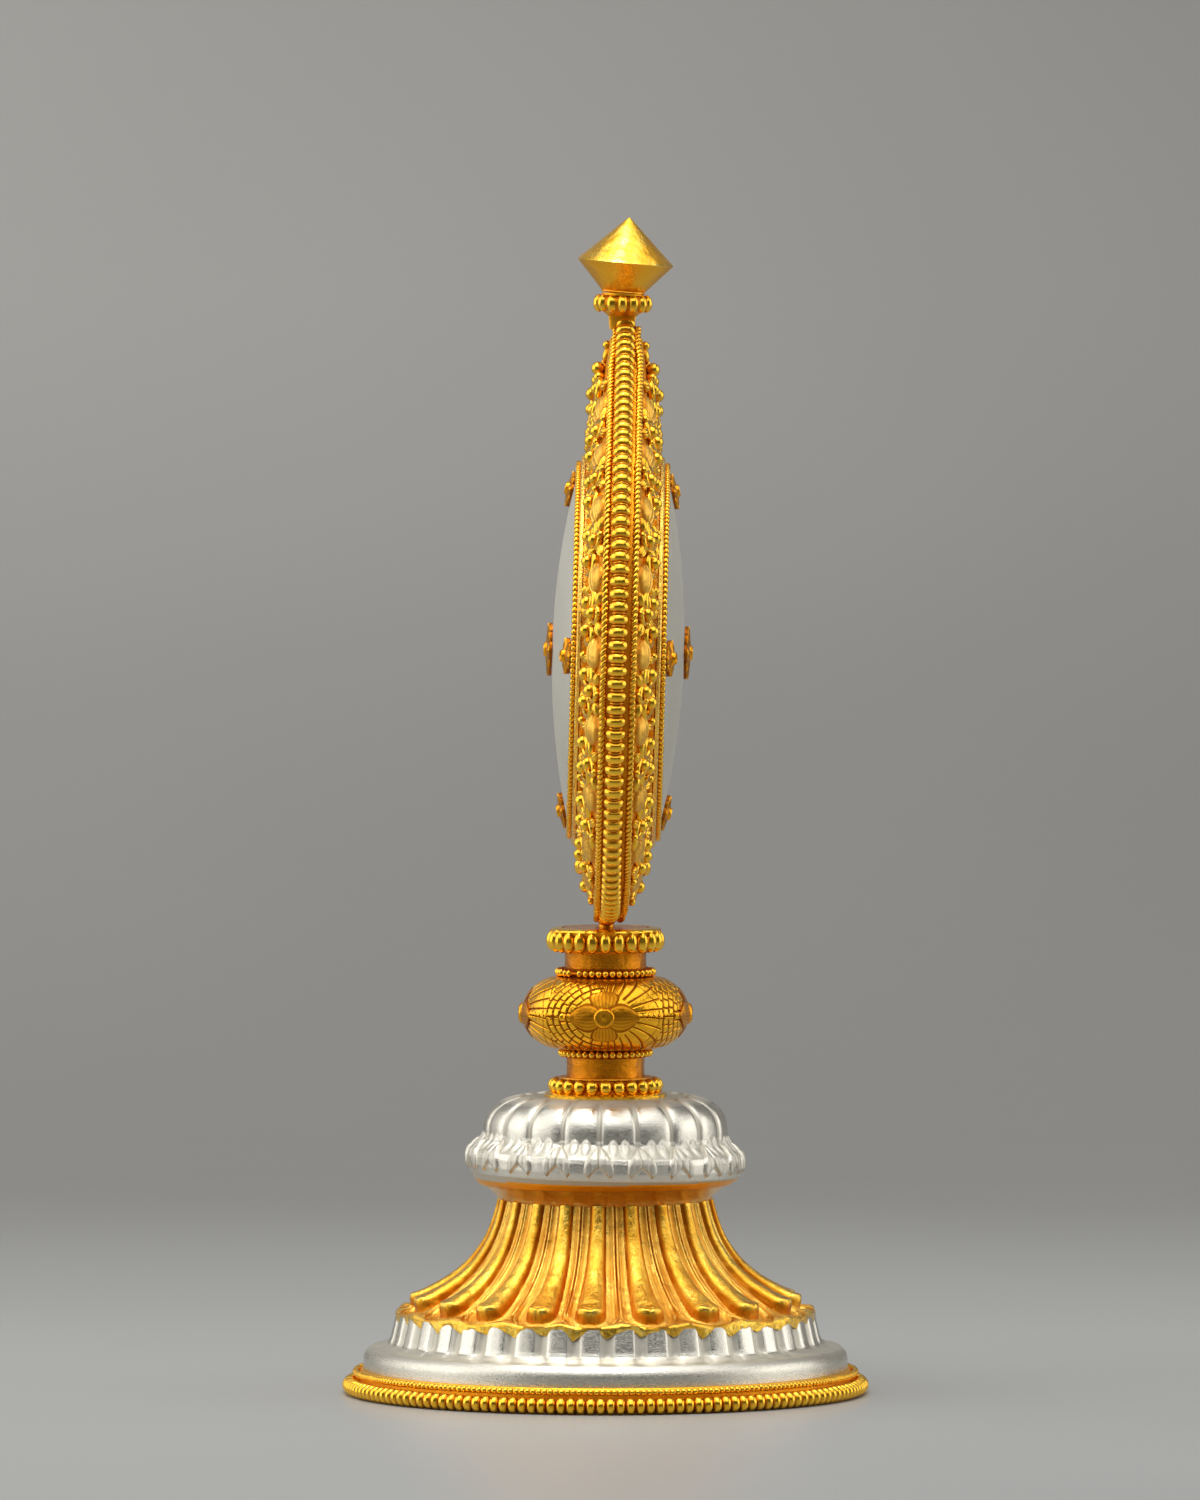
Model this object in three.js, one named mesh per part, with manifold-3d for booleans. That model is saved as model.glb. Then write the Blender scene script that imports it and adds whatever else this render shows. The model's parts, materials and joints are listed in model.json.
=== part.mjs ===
// A ritual mirror on a lotus stand, in millimetres, with +Z up.
// The mirror faces look along -Y and +Y. The origin is the middle of the resting plane.
import * as THREE from "three";
import Module from "manifold-3d";

const wasm = await Module();
wasm.setup();

// Fits and sheet walls
const clearance = 0.3;
const socketClearance = 0.5; // the tang sits loosely, so that the head can lean
const sheetWall = 1.2;

// Foot
const footBeadRadius = 1.8;
const footBeadNeck = 1.15;
const footBeadCount = 164;
const footRingRadius = 54.2;
const footRopeRadius = 0.7;
const flangeHeight = 5.4;
const flangeWall = 1.8;
const flangeLip = 4.4; // width of the inward lip that carries the foot plate
const flangeLipThickness = 1.4;
const footPlateThickness = 1.0;
const footPlateRise = 5.0; // the middle of the plate is raised to make room for the nut
const footPlateFlat = 30;

// Plinth
const plinthSetback = 0.6; // of the plinth's side from the flange's side
const plinthUpright = 2.0;
const plinthShoulder = 2.6;
const shoulderReach = 5.9; // from the plinth's side to the foot of the flutes
const fluteTaper = 1.2; // how far the flutes lean in
const fluteHeight = 5.5;
const fluteDepth = 0.5;
const fluteCount = 40;
const plinthTurn = THREE.MathUtils.degToRad(-3.4); // where the first flute stands, from +X

// Lotus skirt
const petalCount = 20;
const skirtLipHeight = 0.7;
const toeSetback = 2.9; // of the toes from the edge of the lip
const toeLift = 0.5; // of the toes and troughs over the lip
const toeHeight = 3.8; // from the lip to the top of a toe's blunt end
const toeCrown = 0.9; // from there to the top of the toe
const troughRise = 1.3; // of the trough's first step
const skirtNeckRadius = 23.0;
const skirtHeight = 24.3;
const toeOverhang = 2.2; // of a toe beyond the foot of its rib
const ribHeightAtNeck = 0.7;
const bellSharpness = 2.4;
const petalTurn = THREE.MathUtils.degToRad(-4.0);

// Cup
const throatHeight = 3.4;
const throatTopRadius = 26.8;
const cupLipRadius = 29.6;
const cupLipHeight = 5.8;
const cupWaistRadius = 26.0;
const cupWaistHeight = 10.4;
const cupTopRadius = 14.0;
const cupHeight = 18.9;
const lobeDepth = 0.9;
const lobeTurn = THREE.MathUtils.degToRad(6.3);

// Stem
const collarBeadCount = 25;
const neckWall = 1.4;
const lowerCollarHeight = 3.4;
const lowerCollarRadius = 10.6;
const lowerCollarBead = 1.4;
const lowerNeckRadius = 8.3;
const lowerNeckHeight = 4.5;
const stemWireRadius = 0.75;
const knopRadius = 17.5;
const knopLowerHeight = 9.3;
const knopUpperHeight = 9.8;
const knopEndRise = 1.9; // upright part at each end of the knop, inside a wire
const knopMouthRadius = 10.0;
const knopTopSeatRadius = 9.0;
const upperNeckRadius = 8.7;
const upperNeckHeight = 3.4;
const socketCollarHeight = 5.1;
const socketCollarRadius = 10.8;
const socketCollarBead = 1.8;
const socketFlangeRadius = 9.0;
const socketFlangeThickness = 1.1;
const socketWall = 1.6;
const socketDepth = 14.5;
const socketFloor = 2.0;

// Tie rod and its nut
const rodRadius = 2.5;
const rodBelowNut = 0.8;
const washerRadius = 6.0;
const washerThickness = 0.8;
const nutRadius = 5.0;
const nutThickness = 3.0;

// Knop flowers
const knopFlowerCount = 4;
const knopFlowerHalfWidth = 7.4;
const knopFlowerHalfHeight = 5.1;
const knopFlowerThickness = 0.6;

// Head
const lean = THREE.MathUtils.degToRad(1.5); // the loose tang lets the head lean towards +Y
const leanShift = 0.15;
const frameShift = 1.0; // the frame is soldered this far off the tang's axis, towards +Y
const headLift = 0.35; // air between the collar and the lowest rim bead
const rimRadius = 56.5;
const apexRadius = 69.2; // from the mirror's centre to the rim wire at the gable
const rimBeadRadius = 1.85;
const rimBeadNeck = 1.2;
const rimBeadCount = 136;
const ropeRadius = 0.75;
const ropeOffset = 3.1; // of each rope's centre from the middle plane
const shellEdgeHalf = 3.9;
const shellRimWall = 1.8;
const shellLeafHalf = 6.2; // over the row of leaves near the rim
const shellCrownHalf = 7.5;
const shellSeatHalf = 6.9;
const shellBoreRadius = 37.0;
const shellReliefDepth = 1.5;
const scrollUnits = 20;
const bezelRadius = 41.4;
const bezelWidth = 3.2;
const bezelHeight = 1.5;
const bezelWireRadius = 0.5;
const bezelWireRing = 39.6;
const mirrorRadius = 38.7;
const mirrorRise = 4.7;
const mirrorSheet = 0.9;
const tangRadius = 1.6;
const tangInHead = 20.0;
const tangBlockWidth = 12.0;
const tangBlockHalf = 3.0;
const tangBlockHeight = 8.0;
const tangBlockRoof = 1.5;

// Mirror flowers
const centreFlowerRadius = 5.7;
const sideFlowerRadius = 3.8;
const sideFlowerRing = 34.0;
const flowerThickness = 1.1;

// Finial
const finialBeadCount = 14;
const finialRingRadius = 5.15;
const finialBeadAcross = 1.25;
const finialBeadUp = 1.75;
const finialNeckRadius = 3.3;
const finialNeckHeight = 3.9;
const jewelFootRadius = 4.8;
const jewelRadius = 9.95;
const jewelFootHeight = 6.1;
const jewelTipHeight = 9.8;
const jewelTilt = THREE.MathUtils.degToRad(3.5);

// Levels that follow from the sizes
const flangeRadius = footRingRadius - footBeadRadius - clearance;
const plinthRadius = flangeRadius - plinthSetback;
const fluteFootRadius = plinthRadius - shoulderReach;
const fluteTopRadius = fluteFootRadius - fluteTaper;
const toeRadius = fluteTopRadius - toeSetback;
const plinthFoot = flangeHeight;
const fluteFoot = plinthFoot + plinthUpright + plinthShoulder + 1.5;
const plinthTop = fluteFoot + fluteHeight;
const skirtTop = plinthTop + skirtHeight;
const throatTop = skirtTop + throatHeight;
const cupTop = throatTop + cupHeight;
const lowerCollarTop = cupTop + lowerCollarHeight;
const lowerNeckTop = lowerCollarTop + lowerNeckHeight;
const knopEquator = lowerNeckTop + knopLowerHeight;
const knopTop = knopEquator + knopUpperHeight;
const upperNeckTop = knopTop + upperNeckHeight;
const socketCollarTop = upperNeckTop + socketCollarHeight;
const socketFlangeFoot = socketCollarTop - socketFlangeThickness;
const boreRadius = rodRadius + clearance;
const socketBore = tangRadius + socketClearance;
const mirrorCentre = socketCollarTop + headLift + rimBeadRadius + rimRadius;
const gableAngle = Math.acos(rimRadius / apexRadius);

const gold = { color: 0xd6a23c, metalness: 1, roughness: 0.34 };
const redGold = { color: 0xc98738, metalness: 1, roughness: 0.5 };
const silver = { color: 0xd9d5cc, metalness: 1, roughness: 0.28 };
const mirrorSilver = { color: 0xc9cac2, metalness: 1, roughness: 0.22 };
const steel = { color: 0x8d8a84, metalness: 1, roughness: 0.5 };

function signedArea(points) {
  let sum = 0;
  points.forEach(([r, z], i) => {
    const [nextR, nextZ] = points[(i + 1) % points.length];
    sum += r * nextZ - nextR * z;
  });
  return sum / 2;
}

function bodyOf(vertices, faces) {
  const geometry = new THREE.BufferGeometry();
  geometry.setAttribute("position", new THREE.Float32BufferAttribute(vertices, 3));
  geometry.setIndex(faces);
  geometry.computeVertexNormals();
  return geometry;
}

// Joins closed sections that stand round the Z axis, each to the next and the last to the first.
function ringBody(sections) {
  const size = sections[0].points.length;
  const reversed = signedArea(sections[0].points) < 0;
  const vertices = [];
  for (const { angle, points } of sections) {
    for (const [r, z] of reversed ? [...points].reverse() : points) {
      vertices.push(r * Math.cos(angle), r * Math.sin(angle), z);
    }
  }
  const faces = [];
  for (let i = 0; i < sections.length; i++) {
    const here = i * size;
    const next = ((i + 1) % sections.length) * size;
    for (let j = 0; j < size; j++) {
      const up = (j + 1) % size;
      faces.push(here + j, next + j, next + up, here + j, next + up, here + up);
    }
  }
  return bodyOf(vertices, faces);
}

function turned(points, segments) {
  const sections = [];
  for (let i = 0; i < segments; i++) {
    sections.push({ angle: (2 * Math.PI * i) / segments, points });
  }
  return ringBody(sections);
}

// Points on an ellipse from one angle to another, in degrees, both ends included.
function arc(centreR, centreZ, radiusR, radiusZ, from, to, steps) {
  const points = [];
  for (let i = 0; i <= steps; i++) {
    const angle = THREE.MathUtils.degToRad(from + ((to - from) * i) / steps);
    points.push([centreR + radiusR * Math.cos(angle), centreZ + radiusZ * Math.sin(angle)]);
  }
  return points;
}

function wireSection(radius, z, across, up, sides) {
  return arc(radius, z, across, up, 0, 360 - 360 / sides, sides - 1);
}

// A bead's section: round enough outside, and flat where it lies against what carries it.
function beadSection(radius, z, across, up) {
  const inner = radius - across / 2;
  return [
    [radius + across, z],
    [inner, z + up],
    [inner, z - up],
  ];
}

// A string of joined beads round the Z axis: one wide and one narrow section to each bead.
function beadedRing({ radius, z, count, across, up, neck }) {
  const sections = [];
  for (let i = 0; i < 2 * count; i++) {
    const size = i % 2 === 0 ? 1 : neck;
    const points = beadSection(radius, z, across * size, up * size);
    sections.push({ angle: (Math.PI * i) / count, points });
  }
  return ringBody(sections);
}

// Repeats a few columns round the axis. Each column has a share of the unit's turn and a depth.
function patternBody(count, columns, outline, turn = 0) {
  const sections = [];
  for (let i = 0; i < count; i++) {
    for (const { share, depth } of columns) {
      const angle = turn + (2 * Math.PI * (i + share)) / count;
      sections.push({ angle, points: outline(depth) });
    }
  }
  return ringBody(sections);
}

function footFlange() {
  const inner = flangeRadius - flangeWall;
  const lip = inner - flangeLip;
  const points = [
    [lip, 0],
    [flangeRadius, 0],
    [flangeRadius, flangeHeight],
    [inner, flangeHeight],
    [inner, flangeLipThickness],
    [lip, flangeLipThickness],
  ];
  return turned(points, 32);
}

function footPlate() {
  const edge = flangeRadius - flangeWall - clearance;
  const seat = flangeLipThickness;
  const lip = edge - flangeLip;
  const points = [
    [edge, seat],
    [edge, seat + footPlateThickness],
    [lip, seat + footPlateThickness],
    [footPlateFlat, seat + footPlateRise + footPlateThickness],
    [boreRadius, seat + footPlateRise + footPlateThickness],
    [boreRadius, seat + footPlateRise],
    [footPlateFlat, seat + footPlateRise],
    [lip, seat],
  ];
  return turned(points, 18);
}

const panel = [
  { share: 0, depth: 0 },
  { share: 0.5, depth: 1 },
];

function plinth() {
  const shoulderFoot = plinthFoot + plinthUpright;
  const shoulderTop = shoulderFoot + plinthShoulder;
  const shoulderRadius = plinthRadius - plinthShoulder;
  const outline = (depth) => [
    [plinthRadius - sheetWall, plinthFoot],
    [plinthRadius, plinthFoot],
    ...arc(shoulderRadius, shoulderFoot, plinthShoulder, plinthShoulder, 0, 60, 1),
    [fluteFootRadius - depth * fluteDepth, fluteFoot],
    [fluteTopRadius - depth * fluteDepth, plinthTop],
    [fluteTopRadius - sheetWall - fluteDepth, plinthTop],
    [fluteFootRadius - sheetWall - fluteDepth, shoulderTop - sheetWall - fluteDepth],
  ];
  return patternBody(fluteCount, panel, outline, plinthTurn);
}

// The bell falls from the neck to its foot along a decaying curve.
function bellRadius(z, foot, footRadius, neckRadius) {
  const share = (z - foot) / (skirtTop - foot);
  const tail = Math.exp(-bellSharpness);
  const fall = (Math.exp(-bellSharpness * share) - tail) / (1 - tail);
  return neckRadius + (footRadius - neckRadius) * fall;
}

// Two columns on a petal's rib and two in the trough beside it.
const petal = [
  { share: -0.2, rib: true },
  { share: 0.2, rib: true },
  { share: 0.33, rib: false },
  { share: 0.67, rib: false },
];

function lotusSkirt() {
  const lipTop = plinthTop + skirtLipHeight;
  const toeTop = lipTop + toeHeight;
  const ribFoot = toeTop + toeCrown;
  const troughFoot = lipTop + toeLift;
  const levels = [0, 0.17, 0.46, 1].map((share) => THREE.MathUtils.lerp(ribFoot, skirtTop, share));
  const troughNeck = skirtNeckRadius - ribHeightAtNeck;
  const trough = (z) => bellRadius(z, troughFoot, toeRadius + toeLift, troughNeck);
  const ribColumn = [
    [toeRadius, troughFoot],
    [toeRadius - 0.1, toeTop],
    ...levels.map((z) => [bellRadius(z, ribFoot, toeRadius - toeOverhang, skirtNeckRadius), z]),
  ];
  const troughColumn = [troughFoot, troughFoot + troughRise, ...levels].map((z) => [trough(z), z]);
  const insideWaist = (levels[2] + skirtTop) / 2;
  const inside = [skirtTop, insideWaist, levels[1], lipTop].map((z) => {
    return [trough(Math.max(z, levels[0])) - sheetWall, z];
  });
  const outline = (rib) => [
    [fluteTopRadius - sheetWall - fluteDepth, plinthTop],
    [fluteTopRadius, plinthTop],
    [fluteTopRadius, lipTop],
    ...(rib ? ribColumn : troughColumn),
    ...inside,
  ];
  const sections = [];
  for (let i = 0; i < petalCount; i++) {
    for (const { share, rib } of petal) {
      const angle = petalTurn + (2 * Math.PI * (i + share)) / petalCount;
      sections.push({ angle, points: outline(rib) });
    }
  }
  return ringBody(sections);
}

function cupThroat() {
  const foot = skirtNeckRadius - ribHeightAtNeck;
  const inner = foot - sheetWall;
  const points = [
    [inner, skirtTop],
    [foot, skirtTop],
    ...arc(throatTopRadius, skirtTop, throatTopRadius - foot, throatHeight, 150, 90, 1),
    [throatTopRadius - sheetWall, throatTop],
    [inner, skirtTop + sheetWall],
  ];
  return turned(points, 24);
}

const lobe = [
  { share: -0.3, depth: 0 },
  { share: 0.3, depth: 0 },
  { share: 0.5, depth: 1 },
];

function lotusCup() {
  const lip = throatTop + cupLipHeight;
  const waist = throatTop + cupWaistHeight;
  const outline = (depth) => {
    const valley = depth * lobeDepth;
    const dome = arc(cupTopRadius, waist, cupWaistRadius - cupTopRadius, cupTop - waist, 0, 75, 2);
    return [
      [throatTopRadius - sheetWall, throatTop],
      [throatTopRadius, throatTop],
      [cupLipRadius - 0.7, throatTop + 1.9],
      [cupLipRadius, lip - 1.8],
      [cupLipRadius - 0.4 - valley, lip],
      ...dome.map(([r, z]) => [r - valley, z]),
      [cupTopRadius, cupTop],
      [boreRadius, cupTop],
      [boreRadius, cupTop - sheetWall],
      [cupTopRadius, cupTop - sheetWall],
      [cupWaistRadius - lobeDepth - sheetWall, waist],
    ];
  };
  return patternBody(petalCount, lobe, outline, lobeTurn);
}

// A stem collar with beads round its waist. The beads are fused to the band that carries them.
function beadedCollar({ foot, height, inner, radius, bead, seat }) {
  const columns = [
    { share: 0, depth: 0 },
    { share: 0.5, depth: 1 },
  ];
  const top = foot + height;
  const outline = (depth) => {
    const out = bead * (1 - depth * 0.9);
    return [
      [inner, foot],
      [radius - 0.4, foot],
      [radius + out, foot + height * 0.32],
      [radius + out, foot + height * 0.68],
      [radius - 0.4, top],
      ...seat,
    ];
  };
  return patternBody(collarBeadCount, columns, outline);
}

function lowerCollar() {
  const inner = lowerNeckRadius - neckWall;
  return beadedCollar({
    foot: cupTop,
    height: lowerCollarHeight,
    inner,
    radius: lowerCollarRadius,
    bead: lowerCollarBead,
    seat: [[inner, lowerCollarTop]],
  });
}

function socketCollar() {
  const inner = upperNeckRadius - neckWall;
  const recess = socketFlangeRadius + clearance;
  return beadedCollar({
    foot: upperNeckTop,
    height: socketCollarHeight,
    inner,
    radius: socketCollarRadius,
    bead: socketCollarBead,
    seat: [
      [recess, socketCollarTop],
      [recess, socketFlangeFoot],
      [inner, socketFlangeFoot],
    ],
  });
}

function tube(outer, inner, foot, top, segments) {
  const points = [
    [inner, foot],
    [outer, foot],
    [outer, top],
    [inner, top],
  ];
  return turned(points, segments);
}

// The knop is two raised bowls that meet at the equator.
function knopSurface(z) {
  const upper = z > knopEquator;
  const height = (upper ? knopUpperHeight : knopLowerHeight) - knopEndRise;
  const reach = Math.min(1, Math.abs(z - knopEquator) / height);
  return knopMouthRadius + (knopRadius - knopMouthRadius) * Math.sqrt(1 - reach * reach);
}

function knopHalf({ side, height, seatRadius, end }) {
  const belly = knopEquator + side * (height - knopEndRise);
  const bowl = (wall, steps) =>
    arc(
      knopMouthRadius - wall,
      knopEquator,
      knopRadius - knopMouthRadius,
      side * (height - knopEndRise - wall),
      0,
      90,
      steps,
    );
  const points = [
    ...bowl(0, 3),
    [seatRadius, belly + side * 0.3],
    [seatRadius, end],
    [seatRadius - neckWall, end],
    ...bowl(sheetWall, 2).reverse(),
  ];
  return turned(points, 22);
}

function socketCup() {
  const outer = socketBore + socketWall;
  const floor = socketCollarTop - socketDepth;
  const foot = floor - socketFloor;
  const outlinePoints = [
    new THREE.Vector2(0, foot),
    new THREE.Vector2(outer, foot),
    new THREE.Vector2(outer, socketFlangeFoot),
    new THREE.Vector2(socketFlangeRadius, socketFlangeFoot),
    new THREE.Vector2(socketFlangeRadius, socketCollarTop),
    new THREE.Vector2(socketBore, socketCollarTop),
    new THREE.Vector2(socketBore, floor),
    new THREE.Vector2(0, floor),
  ];
  return closedLathe(outlinePoints, 20);
}

// A turned solid whose outline starts and ends on the axis.
function closedLathe(points, segments) {
  const turnedUp = new THREE.LatheGeometry(points, segments).rotateX(Math.PI / 2);
  const position = turnedUp.getAttribute("position");
  const index = turnedUp.getIndex();
  const corner = (i) => new THREE.Vector3().fromBufferAttribute(position, index.getX(i));
  const faces = [];
  for (let i = 0; i < index.count; i += 3) {
    const [a, b, c] = [corner(i), corner(i + 1), corner(i + 2)];
    const twiceArea = b.clone().sub(a).cross(c.clone().sub(a)).length();
    if (twiceArea > 1e-6) faces.push(index.getX(i), index.getX(i + 1), index.getX(i + 2));
  }
  return bodyOf(position.array, faces);
}

// A rod along Z from one level to another.
function rod(radius, foot, top, segments) {
  const height = top - foot;
  return new THREE.CylinderGeometry(radius, radius, height, segments)
    .rotateX(Math.PI / 2)
    .translate(0, 0, foot + height / 2);
}

function hexNut(foot) {
  const corner = (i) => [nutRadius * Math.cos((Math.PI * i) / 3), nutRadius * Math.sin((Math.PI * i) / 3)];
  const outline = new THREE.Shape().moveTo(...corner(0));
  for (let i = 1; i < 6; i++) outline.lineTo(...corner(i));
  outline.holes.push(new THREE.Path().absarc(0, 0, boreRadius, 0, 2 * Math.PI));
  const settings = { depth: nutThickness, bevelEnabled: false, curveSegments: 12 };
  return new THREE.ExtrudeGeometry(outline, settings).translate(0, 0, foot);
}

// A four-petalled flower with a domed boss. The place function sets it on its surface.
function flower(halfWidth, halfHeight, thickness, place) {
  const corners = 8;
  const vertices = [];
  const put = (u, v, h) => vertices.push(...place(u, v, h));
  put(0, 0, thickness * 1.6);
  const rows = [[0.28, 1.35], [1, 0.7], [1, 0], [0.5, 0]];
  for (const [share, height] of rows) {
    for (let i = 0; i < corners; i++) {
      const angle = (2 * Math.PI * i) / corners;
      const petal = share < 1 || i % 2 === 0 ? 1 : 0.6;
      const reach = share * petal;
      put(halfWidth * reach * Math.cos(angle), halfHeight * reach * Math.sin(angle), thickness * height);
    }
  }
  put(0, 0, 0);
  const last = vertices.length / 3 - 1;
  const faces = [];
  for (let i = 0; i < corners; i++) {
    const next = (i + 1) % corners;
    faces.push(0, 1 + i, 1 + next);
    for (let row = 0; row < rows.length - 1; row++) {
      const a = 1 + row * corners;
      const b = a + corners;
      faces.push(a + i, b + i, b + next, a + i, b + next, a + next);
    }
    const underside = last - corners;
    faces.push(last, underside + next, underside + i);
  }
  return bodyOf(vertices, faces);
}

function knopFlower(turn) {
  return flower(knopFlowerHalfWidth, knopFlowerHalfHeight, knopFlowerThickness, (u, v, h) => {
    const z = knopEquator + v;
    const radius = knopSurface(z) + clearance + h;
    const angle = turn + u / knopRadius;
    return [radius * Math.cos(angle), radius * Math.sin(angle), z];
  });
}

// How much further out than the circle the head's edge lies, at an angle from the gable.
function gableStretch(angle) {
  return 1 / Math.cos(Math.max(0, gableAngle - Math.abs(angle)));
}

// The angle from the gable at a length along the rim wire.
function rimAngle(length) {
  const shoulder = rimRadius * Math.tan(gableAngle);
  const along = Math.abs(length);
  const angle =
    along < shoulder
      ? gableAngle - Math.atan((shoulder - along) / rimRadius)
      : gableAngle + (along - shoulder) / rimRadius;
  return Math.sign(length) * angle;
}

const rimHalfLength = rimRadius * (Math.tan(gableAngle) + Math.PI - gableAngle);

// Sections set along the rim, with the gable at the top. Size follows the count of sections.
function rimBody(count, outline) {
  const sections = [];
  for (let i = 0; i < count; i++) {
    const length = rimHalfLength * ((2 * i) / count - 1);
    const angle = rimAngle(length);
    sections.push({ angle: angle + Math.PI / 2, points: outline(gableStretch(angle), i) });
  }
  return ringBody(sections);
}

// Stands a body that was turned about Z upright, with its local +Z towards the chosen face.
function upright(geometry, face) {
  return geometry.rotateX(Math.PI / 2).rotateZ(face > 0 ? 0 : Math.PI);
}

function rimBeads() {
  return upright(
    rimBody(2 * rimBeadCount, (stretch, i) => {
      const size = i % 2 === 0 ? rimBeadRadius : rimBeadNeck;
      return beadSection(rimRadius * stretch, 0, size * stretch, size);
    }),
    1,
  );
}

function rimRope(face) {
  const radius = rimRadius - rimBeadRadius + ropeRadius + 0.05;
  return upright(
    rimBody(28, (stretch) =>
      wireSection(radius * stretch, ropeOffset, ropeRadius * stretch, ropeRadius, 4),
    ),
    face,
  );
}

function frameShell(face) {
  const edge = rimRadius - rimBeadRadius - clearance;
  const seatEdge = bezelRadius + clearance;
  const middle = clearance / 2;
  return upright(
    rimBody(2 * scrollUnits, (stretch, i) => {
      const relief = i % 2 === 0 ? 0 : shellReliefDepth;
      const rim = edge * stretch;
      const slope = (share) => THREE.MathUtils.lerp(rim, seatEdge, share);
      return [
        [rim, middle],
        [rim, shellEdgeHalf],
        [slope(0.35), shellLeafHalf - relief],
        [slope(0.75), shellCrownHalf - relief],
        [seatEdge, shellSeatHalf],
        [shellBoreRadius, shellSeatHalf],
        [shellBoreRadius, shellSeatHalf - sheetWall],
        [slope(0.35), shellLeafHalf - shellReliefDepth - sheetWall],
        [rim - shellRimWall, middle],
      ];
    }),
    face,
  );
}

function bezelBand(face) {
  const foot = shellSeatHalf + clearance;
  const points = [
    [bezelRadius - bezelWidth, foot],
    [bezelRadius, foot],
    [bezelRadius, foot + bezelHeight],
    [bezelRadius - bezelWidth, foot + bezelHeight],
  ];
  return upright(turned(points, 24), face);
}

const mirrorFoot = shellSeatHalf + bezelHeight + 2 * clearance;

function bezelWire(face) {
  const level = mirrorFoot + bezelWireRadius;
  const section = wireSection(bezelWireRing, level, bezelWireRadius, bezelWireRadius, 4);
  return upright(turned(section, 24), face);
}

// The silver is a shallow dome of one large sphere.
const mirrorSphere = (mirrorRadius ** 2 + mirrorRise ** 2) / (2 * mirrorRise);

function domeLevel(radius) {
  const edge = mirrorFoot + 0.3;
  return edge + mirrorRise - mirrorSphere + Math.sqrt(mirrorSphere ** 2 - radius ** 2);
}

function mirrorDome(face) {
  const rings = [0, 0.4, 0.75, 1].map((share) => share * mirrorRadius);
  const outer = rings.map((r) => new THREE.Vector2(r, domeLevel(r)));
  const inner = [rings[2], 0].map((r) => new THREE.Vector2(r, domeLevel(r) - mirrorSheet));
  const edge = [
    new THREE.Vector2(mirrorRadius, mirrorFoot),
    new THREE.Vector2(mirrorRadius - mirrorSheet, mirrorFoot),
  ];
  return upright(closedLathe([...outer, ...edge, ...inner].reverse(), 24), face);
}

function mirrorFlower(face, ring, turn, radius) {
  const tilt = Math.asin(ring / mirrorSphere);
  const geometry = flower(radius, radius, flowerThickness, (u, v, h) => [u, v, h]);
  geometry.translate(0, 0, clearance);
  geometry.rotateY(tilt).translate(ring, 0, domeLevel(ring)).rotateZ(turn);
  return upright(geometry, face);
}

function toManifold(geometry) {
  const flat = geometry.index ? geometry.toNonIndexed() : geometry;
  const mesh = new wasm.Mesh({
    numProp: 3,
    vertProperties: new Float32Array(flat.getAttribute("position").array),
    triVerts: Uint32Array.from({ length: flat.getAttribute("position").count }, (_, i) => i),
  });
  mesh.merge();
  return new wasm.Manifold(mesh);
}

function cut(geometry, ...tools) {
  const solid = tools.reduce((body, tool) => body.subtract(toManifold(tool)), toManifold(geometry));
  const mesh = solid.getMesh();
  return bodyOf(mesh.vertProperties, Array.from(mesh.triVerts));
}

// The head is drawn about the mirror's centre, so the tang's passage lies below it.
function tangPassage(foot, top) {
  return rod(tangRadius + clearance, foot, top, 12);
}

// The passage as the frame has it, which is soldered off the tang's axis.
function framePassage() {
  return tangPassage(headFoot - 1, headFoot + tangInHead).translate(0, -frameShift, 0);
}

// The rim wire ends on each side of the tang.
function wireGap() {
  return rod(tangRadius + clearance + frameShift, headFoot - 1, headFoot + 2 * rimBeadRadius + 1, 12);
}

const headFoot = socketCollarTop - mirrorCentre;
const tangTop = headFoot + tangInHead;
const tangBlockTop = tangTop + clearance + tangBlockRoof;

function tangBlock() {
  const block = new THREE.BoxGeometry(tangBlockWidth, 2 * tangBlockHalf, tangBlockHeight);
  block.translate(0, 0, tangBlockTop - tangBlockHeight / 2);
  return cut(block, tangPassage(headFoot, tangTop + clearance));
}

const apexTop = apexRadius + rimBeadRadius * gableStretch(0);

function jewel() {
  const profile = [
    new THREE.Vector2(0, 0),
    new THREE.Vector2(jewelFootRadius, 0),
    new THREE.Vector2(jewelRadius, jewelFootHeight),
    new THREE.Vector2(0, jewelFootHeight + jewelTipHeight),
  ];
  const foot = apexTop + 2 * clearance + finialNeckHeight;
  return closedLathe(profile, 24).rotateX(-jewelTilt).translate(0, 0, foot);
}

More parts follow.
